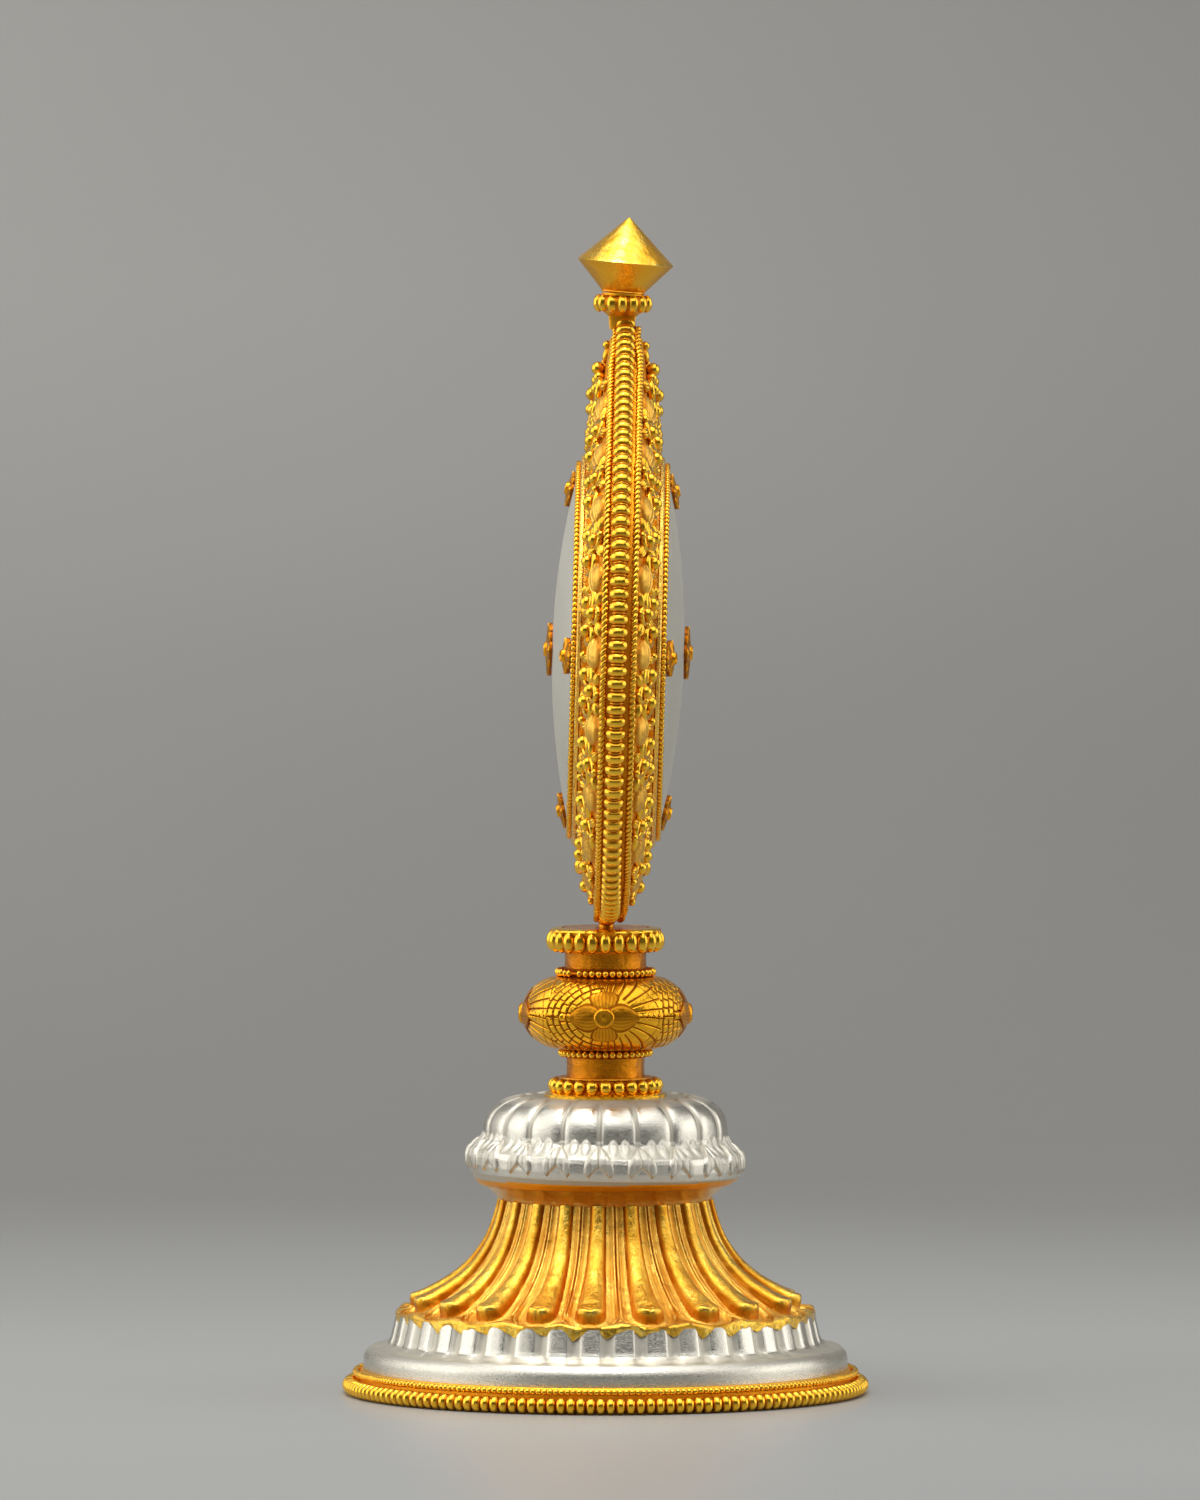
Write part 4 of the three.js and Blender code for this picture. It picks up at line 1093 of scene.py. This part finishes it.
def add_petal(skin, place, reach, width, lift, heading, shade=0.75, point=0.55, fan=False):
    """A striped petal that grows from the flower's middle. place sets it on its surface.

    point makes its ends more pointed, and a fan is widest near its end.
    """
    rows, columns = 16, 16
    cos, sin = math.cos(heading), math.sin(heading)

    def put(along, across, height):
        return place(along * cos - across * sin, along * sin + across * cos, height)

    sections, shades = [], []
    for i in range(rows + 1):
        share = mix(0.12, 1.0, i / rows)
        if fan:
            half = width / 2 * share**0.6 * dome(max(0.0, share - 0.7) / 0.3) + 0.02
        else:
            half = width / 2 * math.sin(math.pi * min(1.0, share**0.85)) ** point + 0.02
        top, under, tones = [], [], []
        for j in range(columns + 1):
            side = 2 * j / columns - 1
            groove = 0.5 - abs((side * 4) % 1.0 - 0.5)
            height = lift * (0.45 + 0.55 * (1 - side**2)) * (1.05 - share * 0.35) - 0.16 * groove * min(1, lift)
            top.append(put(share * reach, side * half, max(0.03, height)))
            under.append(put(share * reach, side * half, -0.05))
            # Painted shade: darker in the grooves, towards the edges and underneath
            tones.append(shade * (1 - 1.2 * groove) * (1 - smooth(abs(side), 0.75, 0.95)))
        sections.append(top + under[::-1])
        shades.extend(tones + [0.0] * (columns + 1))
    skin.sweep(sections, closed=False, shades=shades)


def add_boss(skin, place, radius, height, columns=24):
    """A round boss with a dimple in its crown."""
    # Painted shade: darker at the foot and on the dimple's wall than on the crown
    outline = [(radius, -0.05, 0), (radius * 1.04, height * 0.35, 0.5), (radius * 0.92, height * 0.8, 1)]
    outline += [(radius * 0.76, height, 1), (radius * 0.6, height * 0.84, 0.5), (radius * 0.42, height * 0.74, 0.8)]
    outline += [(0.02, height * 0.86, 1), (0.02, -0.05, 0)]
    sections, shades = [], []
    for i in range(columns):
        angle = TURN * i / columns
        sections.append([place(r * math.cos(angle), r * math.sin(angle), h) for r, h, shade in outline])
        shades.extend(shade for r, h, shade in outline)
    skin.sweep(sections, shades=shades)


# Head


def head_place(shift):
    """The head leans with its loose tang, so its pieces are drawn upright and then set in place."""
    hinge = next(j for j in frame["joints"] if j["name"] == "mirror_turn")
    axis = Vector(hinge["axis"]).normalized()
    pivot = Vector(hinge["pos_m"]) / MM
    centre = pivot + axis * in_mm(bpy.context.scene.mirror_head).centre_height
    leaned = UP.rotation_difference(axis).to_matrix().to_4x4()
    return Matrix.Translation(centre) @ leaned @ Matrix.Translation((0, shift, 0))


def head_piece(name, skin, finish, nodes=(), crease=50):
    place = head_place(in_mm(bpy.context.scene.mirror_head).frame_shift)
    return piece(name, skin, finish, "mirror_head", nodes, place, crease)


class Rim:
    """The drop-shaped path of the rim: a circle with two straight shoulders that meet at a gable."""

    def __init__(self, s):
        self.radius = s.rim_radius
        self.gable = math.acos(s.rim_radius / s.apex_radius)
        self.shoulder = self.radius * math.tan(self.gable)
        self.half = self.shoulder + self.radius * (math.pi - self.gable)

    def angle(self, run):
        run = (run + self.half) % (2 * self.half) - self.half
        along = abs(run)
        if along < self.shoulder:
            angle = self.gable - math.atan((self.shoulder - along) / self.radius)
        else:
            angle = self.gable + (along - self.shoulder) / self.radius
        return math.copysign(angle, run)

    def stretch(self, angle):
        return 1 / math.cos(max(0.0, self.gable - abs(angle)))

    def point(self, run, inset, level):
        """A point on the rim. inset is towards the mirror's centre, level towards a face."""
        angle = self.angle(run)
        radius = (self.radius - inset) * self.stretch(angle)
        return Vector((radius * math.sin(angle), level, radius * math.cos(angle)))

    def outward(self, run):
        before, after = self.point(run - 0.05, 0, 0), self.point(run + 0.05, 0, 0)
        along = (after - before).normalized()
        return Vector((along.z, 0, -along.x)) * (-1 if along.z * before.x - along.x * before.z < 0 else 1)


class MIRROR_OT_rim(bpy.types.Operator):
    """Build the rim's bead wire and its two grained ropes"""

    bl_idname = "ritual_mirror.rim"
    bl_label = "Rim"

    def execute(self, context):
        s = in_mm(context.scene.mirror_head)
        rim = Rim(s)
        across = Vector((0, 1, 0))
        span = 2 * rim.half
        wire_shift, foot_shift = -0.2, -1.1

        def wire(run):
            """The bead wire bends over the tang at the head's foot."""
            near_foot = 1 - smooth(min(run, span - run), 3.0, 15.0)
            place = run - rim.half
            return rim.point(place, 0, mix(wire_shift, foot_shift, near_foot)), rim.outward(place), across

        skin = Skin()
        sizes = (s.rim_bead, s.rim_bead * 1.1)
        skin.beaded_wire(wire, span, s.rim_beads, BARREL_BEAD, sizes, sides=18, gap=2.0, wobble=0.025)
        head_piece("rim_beads", skin, "wire", ["rim_bead_wire"], crease=60)

        for face, side in FACES:

            def rope(run):
                """The ropes close in on the wire at the gable, and the back one joins it at the foot."""
                place = run - rim.half
                near_top = 1 - smooth(abs(place), 2.0, 14.0)
                near_foot = 1 - smooth(min(run, span - run), 2.0, 22.0)
                level = s.rope_offset - 0.7 * near_top - (1.1 if side > 0 else 0.1) * near_foot
                inset = 1.05 - 1.5 * near_foot - 0.5 * near_top
                return rim.point(place, inset, side * level), rim.outward(place), across

            skin = Skin()
            grains = round(span / s.rope_grain)
            skin.beaded_wire(rope, span, grains, GRAIN, (s.rope, s.rope * 1.1), sides=12, wobble=0.1, slant=0.45)
            head_piece(f"rope_{face}", skin, "wire", [f"rim_rope_{face}"], crease=70)
        return {"FINISHED"}


SHELL_EDGE = 3.5
SHELL_SEAT = 6.95
SHELL_SLOPE = 0.27
# One unit of the scrolls, in millimetres along the rim from the big leaf and inset from the rim.
# Leaves: start, end, width, lift, bow. Curls: middle, first and last radius, start, turns, thickness.
# Bosses: place, radius, lift.
UNIT_LEAVES = (
    ((4.4, 12.4), (8.8, 13.4), 3.2, 1.5, 0.5),
    ((-4.4, 12.4), (-8.8, 12.8), 3.0, 1.5, -0.4),
    ((0.4, 10.6), (2.6, 14.0), 2.8, 1.3, 0.3),
    ((4.0, 3.4), (7.6, 5.0), 2.4, 1.2, 0.3),
    ((-4.2, 3.4), (-8.0, 4.8), 2.4, 1.2, -0.3),
    ((8.6, 8.8), (11.2, 13.6), 2.8, 1.5, -0.4),
)
UNIT_CURLS = (
    ((5.6, 9.6), 3.2, 1.5, -2.3, 1.2, 1.0),
    ((-5.2, 9.8), 3.0, 1.4, 0.9, -1.15, 0.95),
    ((9.2, 5.8), 2.3, 1.2, 1.9, 1.1, 0.8),
)
UNIT_BOSSES = (
    ((5.0, 10.6), 1.45, 1.2),
    ((8.5, 6.6), 1.4, 1.2),
    ((12.2, 10.6), 1.45, 1.2),
    ((8.9, 3.3), 0.85, 0.6),
    ((10.9, 7.6), 0.8, 0.9),
    ((0.4, 13.8), 0.9, 0.7),
)


class MIRROR_OT_shells(bpy.types.Operator):
    """Build the two frame shells and the scrolls of leaves and curls on them"""

    bl_idname = "ritual_mirror.shells"
    bl_label = "Frame shells and scrolls"

    def shell(self, s, rim, side):
        edge, bezel, bore = 2.25, s.bezel_radius + 0.1, 37.0
        sections, shades = [], []
        steps = 420
        for i in range(steps):
            angle = rim.angle(-rim.half + 2 * rim.half * i / steps)
            rim_radius = (rim.radius - edge) * rim.stretch(angle)
            points = [(rim_radius, 0.16), (rim_radius, SHELL_EDGE - 0.3), (rim_radius - 0.3, SHELL_EDGE)]
            for k in range(1, 13):
                points.append((mix(rim_radius, bezel, k / 12), mix(SHELL_EDGE, SHELL_SEAT, k / 12)))
            points += [(bore, SHELL_SEAT), (bore, 5.8), (bezel, 5.6)]
            points += [(rim_radius - 1.5, SHELL_EDGE - 1.2), (rim_radius - 1.5, 0.16)]
            sin, cos = math.sin(angle), math.cos(angle)
            sections.append([Vector((r * sin, side * y, r * cos)) for r, y in points])
            # Painted shade: the sheet under the scrolls is kept dark, and darkest at its edge under the rim
            shades.extend([0.0, 0.2] + [0.4] * (len(points) - 2))
        skin = Skin()
        skin.sweep(sections, shades=shades)
        return skin

    def leaf(self, skin, put, start, end, width, lift, bow=0.0, ribs=0.0, rows=14, columns=10):
        """A domed leaf with a groove down its middle, from start to end on the sheet."""
        run = Vector(end) - Vector(start)
        across = Vector((-run.y, run.x)).normalized()
        sections, shades = [], []
        for i in range(rows + 1):
            share = mix(0.02, 0.98, i / rows)
            middle = Vector(start) + run * share + across * bow * math.sin(math.pi * share)
            half = width / 2 * math.sin(math.pi * share) ** 0.6 + 0.03
            top, under, tones = [], [], []
            for j in range(columns + 1):
                side = 2 * j / columns - 1
                spot = middle + across * side * half
                rise = lift * (1 - side**2) ** 0.7 * math.sin(math.pi * share) ** 0.5
                rise -= (0.25 - ribs) * lift * line(side, 0.3) + ribs * lift * (j % 2)
                top.append(put(spot.x, spot.y, rise + 0.05))
                under.append(put(spot.x, spot.y, -0.4))
                # Painted shade: the low edges and groove of the leaf are darker, and the underside darkest
                tones.append(0.2 + 0.8 * smooth(rise / lift, 0.15, 0.6))
            sections.append(top + under[::-1])
            shades.extend(tones + [0.0] * (columns + 1))
        skin.sweep(sections, closed=False, shades=shades)

    def curl(self, skin, put, centre, start_radius, end_radius, start, turns, thick):
        """A curl of wire that tightens round its boss."""
        points, radii = [], []
        steps = 26
        for i in range(steps + 1):
            share = i / steps
            angle = start + TURN * turns * share
            radius = mix(start_radius, end_radius, share)
            x = centre[0] + radius * math.cos(angle)
            y = centre[1] + radius * math.sin(angle)
            points.append(put(x, y, 0.35 + 0.55 * share))
            radii.append(mix(thick, thick * 0.6, share))
        skin.tube(points, radii, sides=8)

    def boss(self, skin, put, spot, radius, lift):
        centre, above = put(*spot, lift), put(*spot, lift + 1)
        up = (above - centre).normalized()
        skin.bead(centre, up, up.orthogonal().normalized(), (radius, radius, radius), columns=14, rows=8)

    def unit(self, skin, leaves, rim, side, middle):
        slope = math.atan(SHELL_SLOPE)
        low = mix(0.4, 1.0, smooth(rim.half - abs(middle), 4.0, 24.0))
        out_lift, face_lift = low * math.sin(slope), low * side * math.cos(slope)

        def put(along, inset, lift):
            run = middle + along
            level = SHELL_EDGE + SHELL_SLOPE * max(0.0, inset - 2.2)
            base = rim.point(run, inset, side * level)
            return base + rim.outward(run) * (out_lift * lift) + Vector((0, face_lift * lift, 0))

        self.leaf(leaves, put, (-4.2, 7.0), (4.2, 7.0), 7.0, 1.8, ribs=0.13, rows=18, columns=16)
        for start, end, width, lift, bow in UNIT_LEAVES:
            self.leaf(skin, put, start, end, width, lift, bow)
        for curl in UNIT_CURLS:
            self.curl(skin, put, *curl)
        for boss in UNIT_BOSSES:
            self.boss(skin, put, *boss)

    def crest(self, skin, leaves, rim, side):
        """The bosses and the fan of leaves under the gable."""
        apex = rim.radius * rim.stretch(0)
        slope = (SHELL_SEAT - SHELL_EDGE) / (apex - 2.8 - 41.5)

        def put(along, inset, lift):
            level = SHELL_EDGE + slope * max(0.0, inset - 2.8)
            return Vector((along, side * (level + lift), apex - inset))

        self.boss(skin, put, (0, 4.4), 1.0, 0.3)
        self.leaf(skin, put, (0, 4.6), (0, 8.4), 3.0, 1.0)
        for x, inset, radius, lift in ((0, 9.4, 1.5, 1.4), (1.9, 11.2, 1.2, 0.9), (-1.9, 11.2, 1.2, 0.9)):
            self.boss(skin, put, (x, inset), radius, lift)
        self.leaf(leaves, put, (0, 10.4), (0, 16.6), 5.0, 1.2, ribs=0.13, columns=14)
        for spread, reach in ((0, 13.0), (0.38, 12.6), (-0.38, 12.6), (0.75, 12.0), (-0.75, 12.0)):
            tip = (1.4 * math.sin(spread) + reach * math.sin(spread), 14.4 + reach * math.cos(spread))
            self.leaf(leaves, put, (1.4 * math.sin(spread), 14.4), tip, 4.6, 1.75, ribs=0.13, columns=14)
        for x, inset, turn in ((-3.4, 13.6, 1), (3.4, 13.6, -1), (-8.4, 18.0, -1), (8.4, 18.0, 1)):
            self.curl(skin, put, (x, inset), 2.7, 1.2, 1.4 - turn, 1.1 * turn, 0.95)
            self.boss(skin, put, (x, inset), 1.3, 1.0)

    def execute(self, context):
        s = in_mm(context.scene.mirror_head)
        rim = Rim(s)
        unit = 2 * rim.half / s.scrolls
        phase = 0.08
        for face, side in FACES:
            head_piece(f"shell_{face}", self.shell(s, rim, side), "satin", [f"frame_shell_{face}"], 35)
            skin, leaves = Skin(), Skin()
            for i in range(s.scrolls):
                middle = -rim.half + unit * (i + phase)
                if abs(rim.angle(middle)) > 0.1:
                    self.unit(skin, leaves, rim, side, middle)
            self.crest(skin, leaves, rim, side)
            head_piece(f"scrolls_{face}", skin, "gold", crease=60)
            head_piece(f"scroll_leaves_{face}", leaves, "leaf", crease=60)
        return {"FINISHED"}


def on_face(side):
    """Turns a body drawn about Z so that +Z looks out of the chosen face."""
    return Matrix.Rotation(math.pi / 2 * -side, 4, "X")


def turned_on_face(skin, side, columns, outline, shade=1.0):
    local = Skin()
    local.turned(columns, lambda angle: outline)
    turn = on_face(side)
    skin.add([turn @ v for v in local.vertices], local.faces, [shade] * len(local.vertices))


MIRROR_FOOT = 9.0
MIRROR_RADIUS = 38.7
MIRROR_RISE = 4.7
MIRROR_SPHERE = (MIRROR_RADIUS**2 + MIRROR_RISE**2) / (2 * MIRROR_RISE)
MIRROR_EDGE = 0.3


def mirror_level(radius):
    crown = MIRROR_FOOT + MIRROR_EDGE + MIRROR_RISE
    return crown - MIRROR_SPHERE + math.sqrt(MIRROR_SPHERE**2 - radius**2)


class MIRROR_OT_mirrors(bpy.types.Operator):
    """Build the silver mirrors, their bezels and bead wires"""

    bl_idname = "ritual_mirror.mirrors"
    bl_label = "Mirrors and bezels"

    def execute(self, context):
        s = in_mm(context.scene.mirror_head)
        for face, side in FACES:
            rings = [MIRROR_RADIUS * i / 36 for i in range(1, 37)]
            bowl = [(0.02, mirror_level(0)), *((radius, mirror_level(radius)) for radius in rings)]
            bowl += [(MIRROR_RADIUS, MIRROR_FOOT), (MIRROR_RADIUS - 0.9, MIRROR_FOOT), (0.02, mirror_level(0) - 0.9)]
            skin = Skin()
            turned_on_face(skin, side, 160, bowl)
            head_piece(f"mirror_{face}_silver", skin, "mirror", [f"mirror_{face}"], crease=40)

            edge = s.bezel_radius
            band = [(edge - 3.2, 6.96), (edge - 0.15, 6.96), (edge, 7.2), (edge + 0.05, 7.75), (edge - 0.3, 7.9)]
            band += [(edge, 8.05), (edge - 0.05, 8.6), (edge - 0.5, 8.9), (edge - 3.2, 8.95)]
            skin = Skin()
            turned_on_face(skin, side, 200, band, 0.9)
            head_piece(f"bezel_{face}", skin, "border", [f"bezel_band_{face}"], crease=30)

            ring, level = 39.6, MIRROR_FOOT + 0.45
            turn = on_face(side)

            def bezel_wire(run):
                out = turn @ on_circle(1, 0, run / ring)
                axis = turn @ UP
                return out * ring + axis * level, out, axis

            skin = Skin()
            skin.beaded_wire(bezel_wire, TURN * ring, s.bezel_beads, GRAIN, (0.6, 0.6), sides=8)
            head_piece(f"bezel_beads_{face}", skin, "wire", [f"bezel_wire_{face}"])
        dress_node("tang_block", "steel")
        dress_node("head_tang", "wash")
        return {"FINISHED"}


class MIRROR_OT_flowers(bpy.types.Operator):
    """Build the five small flowers on each mirror"""

    bl_idname = "ritual_mirror.flowers"
    bl_label = "Mirror flowers"

    def execute(self, context):
        for face, side in FACES:
            spots = [(0.0, 0.0, 5.6)] + [(34.0, TURN * i / 4, 3.8) for i in range(4)]
            for number, (ring, turn, radius) in enumerate(spots, 1):
                tilt = Matrix.Rotation(math.asin(ring / MIRROR_SPHERE), 4, "Y")
                seat = Matrix.Rotation(turn, 4, "Z") @ Matrix.Translation((ring, 0, mirror_level(ring))) @ tilt
                move = on_face(side) @ seat

                def on_dome(x, y, lift):
                    return move @ Vector((x, y, max(0.02, lift + 0.05)))

                skin = Skin()
                for k in range(4):
                    add_petal(skin, on_dome, radius * 0.92, radius * 0.95, 1.15, TURN * (k + 0.5) / 4)
                for k in range(4):
                    add_petal(skin, on_dome, radius, radius * 0.85, 1.4, TURN * k / 4, shade=0.95)
                add_boss(skin, on_dome, 1.0 + radius * 0.13, 1.8)
                node = f"flower_{face}_{number}"
                head_piece(f"{node}_petals", skin, "petal", [node], crease=60)
        return {"FINISHED"}


class MIRROR_OT_finial(bpy.types.Operator):
    """Build the finial: a beaded ring, its neck and the jewel"""

    bl_idname = "ritual_mirror.finial"
    bl_label = "Finial"

    def on_axis(self, name, skin, finish, node, crease):
        """The finial stands on the tang's axis, not on the frame's."""
        piece(name, skin, finish, "mirror_head", [node], head_place(0), crease)

    def execute(self, context):
        s = in_mm(context.scene.mirror_finial)
        head = in_mm(context.scene.mirror_head)
        base = head.apex_radius + 1.85 * Rim(head).stretch(0) + 0.3
        middle = base + s.neck_height / 2
        skin = Skin()
        core = arc(4.8, middle, 1.0, 1.5, 0, 337.5, 15)
        # Painted shade: the core between the beads is dark
        skin.turned(96, lambda angle: [(r, z, 0.2) for r, z in core])
        bead_ring(skin, 5.15, middle, s.beads, (1.25, 1.85, 1.16), wobble=0.14, columns=20, rows=14)
        self.on_axis("finial_beads", skin, "beads", "finial_bead_ring", 50)

        foot = base + s.neck_height
        neck = [(0.02, base - 3.6), (2.6, base - 3.6), (2.9, base - 0.8), (4.4, base + 0.5), (3.6, base + 1.4)]
        neck += [(3.6, foot - 0.5), (4.5, foot - 0.25), (4.5, foot + 0.3), (0.02, foot + 0.3)]
        skin = Skin()
        skin.turned(48, lambda angle: [(r, z, 0.3) for r, z in neck])
        for vertex in skin.vertices:
            vertex.x *= mix(0.2, 1.0, smooth(vertex.z, base - 0.2, base + 0.9))
        self.on_axis("finial_stalk", skin, "satin", "finial_neck", 30)

        wide = s.jewel_radius
        lower = [(0.02, 0.0), (4.5, 0.0), (4.7, 0.2), (4.6, 0.42), (wide - 0.25, 6.25)]
        upper = [(wide, 6.5), (wide - 0.22, 6.75), (0.25, 16.0), (0.02, 16.1)]
        # Painted shade: the lower cone, which faces down, is darker than the upper one
        outline = [(r, z, 0.6) for r, z in evenly(lower, 0.6)] + [(r, z, 1) for r, z in evenly(upper, 0.6)]
        tilt = Matrix.Translation((0, 0, foot + 0.25)) @ Matrix.Rotation(-s.jewel_tilt, 4, "X")
        skin = Skin()
        skin.turned(120, lambda angle: outline)
        skin.vertices = [tilt @ v for v in skin.vertices]
        self.on_axis("finial_jewel_gilt", skin, "jewel", "finial_jewel", 28)
        return {"FINISHED"}


# Stage


def area_light(name, place, aim, width, height, power, tint=(1, 1, 1)):
    light = bpy.data.lights.new(name, "AREA")
    light.shape = "RECTANGLE"
    light.size, light.size_y = width, height
    light.energy = power
    light.color = tint
    obj = bpy.data.objects.new(name, light)
    obj.location = place
    obj.rotation_euler = (Vector(aim) - Vector(place)).to_track_quat("-Z", "Y").to_euler()
    bpy.context.scene.collection.objects.link(obj)
    return obj


def stage_sheet(name, path, half_width, material):
    """A smooth sheet that runs along a path of (x, z) points, in metres."""
    vertices = [(x, y, z) for x, z in path for y in (-half_width, half_width)]
    faces = [(2 * i, 2 * i + 1, 2 * i + 3, 2 * i + 2) for i in range(len(path) - 1)]
    mesh = bpy.data.meshes.new(name)
    mesh.from_pydata(vertices, [], faces)
    mesh.polygons.foreach_set("use_smooth", [True] * len(mesh.polygons))
    mesh.materials.append(material)
    obj = bpy.data.objects.new(name, mesh)
    bpy.context.scene.collection.objects.link(obj)


def stage_paint(colours, roughness):
    """Paint with painted shade: darker towards the far, unlit side and the foot of the backdrop, and clear from behind.
    """
    material = bpy.data.materials.new("stage_grey")
    material.use_nodes = True
    nodes = Nodes(material.node_tree)
    place = nodes.add("ShaderNodeTexCoord").outputs["Object"]
    x, y, z = nodes.add("ShaderNodeSeparateXYZ", None, Vector=place).outputs
    wall = nodes.blend(nodes.spread(y, -0.2, 0.2), rgba(colours.backdrop), rgba(colours.backdrop_shaded_side))
    wall = nodes.blend(nodes.spread(z, 0.0, 0.22), rgba(colours.backdrop_shaded_foot), wall)
    paint = nodes.blend(nodes.spread(x, -0.6, -0.15), wall, rgba(colours.floor))
    cloud = nodes.spread(nodes.noise(place, 3.0, 2.0), 0.3, 0.7, 0.97, 1.03)
    shader = nodes.add("ShaderNodeBsdfPrincipled", None, Roughness=roughness)
    clouded = nodes.add("ShaderNodeVectorMath", {"operation": "SCALE"}, i0=paint, Scale=cloud)
    nodes.put(shader, "Base Color", clouded.outputs[0])
    back = nodes.add("ShaderNodeNewGeometry").outputs["Backfacing"]
    clear = nodes.add("ShaderNodeBsdfTransparent").outputs[0]
    one_sided = nodes.add("ShaderNodeMixShader", None, i0=back, i1=shader.outputs[0], i2=clear)
    nodes.put(nodes.add("ShaderNodeOutputMaterial"), "Surface", one_sided.outputs[0])
    return material


class MIRROR_OT_stage(bpy.types.Operator):
    """Build the floor with its curved backdrop, the lights and the camera"""

    bl_idname = "ritual_mirror.stage"
    bl_label = "Stage"

    def camera(self, scene):
        camera = bpy.data.cameras.new("photo_camera")
        camera.sensor_fit = "VERTICAL"
        photo_height, focal_pixels = 1500, 15015
        camera.angle_y = 2 * math.atan(photo_height / 2 / focal_pixels)
        camera.clip_start, camera.clip_end = 0.1, 20
        obj = bpy.data.objects.new("photo_camera", camera)
        offset = -1.17 * MM
        obj.location = (3.183, offset, 0.2784)
        aim = Vector((0, offset, 0.13674))
        obj.rotation_euler = (aim - obj.location).to_track_quat("-Z", "Y").to_euler()
        scene.collection.objects.link(obj)
        scene.camera = obj

    def execute(self, context):
        scene = context.scene
        near, far, bend = 2.6, -0.55, 0.45
        path = [(near, 0.0), (far, 0.0)]
        for i in range(1, 17):
            angle = math.pi / 2 * i / 16
            path.append((far - bend * math.sin(angle), bend - bend * math.cos(angle)))
        path.append((far - bend, 2.2))
        stage_sheet("backdrop", path, 3.2, stage_paint(scene.mirror_finishes, 0.38))

        warm = (1, 0.985, 0.96)
        area_light("left_softbox", (0.0, -1.3, 0.6), (0, 0, 0.12), 1.8, 1.3, 12, warm)
        area_light("right_softbox", (-0.1, 1.4, 0.55), (0, 0, 0.12), 1.5, 1.2, 8.5, warm)
        area_light("top_softbox", (0.35, 0.0, 1.35), (0.05, 0, 0.1), 2.2, 2.2, 23)
        sparkle = area_light("sparkle", (0.2, -0.12, 1.33), (0, 0, 0.1), 0.42, 0.42, 0.8)
        sparkle.data.spread = math.radians(60)

        world = bpy.data.worlds.new("studio_air")
        world.use_nodes = True
        air = Nodes(world.node_tree)
        background = air.add("ShaderNodeBackground", None, Color=(0.5, 0.5, 0.49, 1.0), Strength=0.22)
        air.put(air.add("ShaderNodeOutputWorld"), "Surface", background.outputs[0])
        scene.world = world
        scene.view_settings.view_transform = "Standard"
        self.camera(scene)
        return {"FINISHED"}


OPERATORS = (
    MIRROR_OT_finishes,
    MIRROR_OT_stage,
    MIRROR_OT_foot,
    MIRROR_OT_plinth,
    MIRROR_OT_skirt,
    MIRROR_OT_cup,
    MIRROR_OT_stem,
    MIRROR_OT_knop,
    MIRROR_OT_rim,
    MIRROR_OT_shells,
    MIRROR_OT_mirrors,
    MIRROR_OT_flowers,
    MIRROR_OT_finial,
)

GROUPS = {
    "mirror_foot": FootSizes,
    "mirror_plinth": PlinthSizes,
    "mirror_skirt": SkirtSizes,
    "mirror_cup": CupSizes,
    "mirror_stem": StemSizes,
    "mirror_head": HeadSizes,
    "mirror_finial": FinialSizes,
    "mirror_finishes": Finishes,
}


class MIRROR_PT_panel(bpy.types.Panel):
    bl_idname = "MIRROR_PT_panel"
    bl_label = "Ritual Mirror"
    bl_space_type = "VIEW_3D"
    bl_region_type = "UI"
    bl_category = "Mirror"

    def draw(self, context):
        for name, group in GROUPS.items():
            box = self.layout.box()
            for key in group.__annotations__:
                box.prop(getattr(context.scene, name), key)
        for operator in OPERATORS:
            self.layout.operator(operator.bl_idname)


def register():
    for group in GROUPS.values():
        bpy.utils.register_class(group)
    for name, group in GROUPS.items():
        setattr(bpy.types.Scene, name, PointerProperty(type=group))
    for operator in OPERATORS:
        bpy.utils.register_class(operator)
    bpy.utils.register_class(MIRROR_PT_panel)


def unregister():
    bpy.utils.unregister_class(MIRROR_PT_panel)
    for operator in reversed(OPERATORS):
        bpy.utils.unregister_class(operator)
    for name, group in GROUPS.items():
        delattr(bpy.types.Scene, name)
        bpy.utils.unregister_class(group)


def main():
    register()
    for operator in OPERATORS:
        group, name = operator.bl_idname.split(".")
        getattr(getattr(bpy.ops, group), name)()
    bpy.context.view_layer.update()


if __name__ == "__main__":
    main()
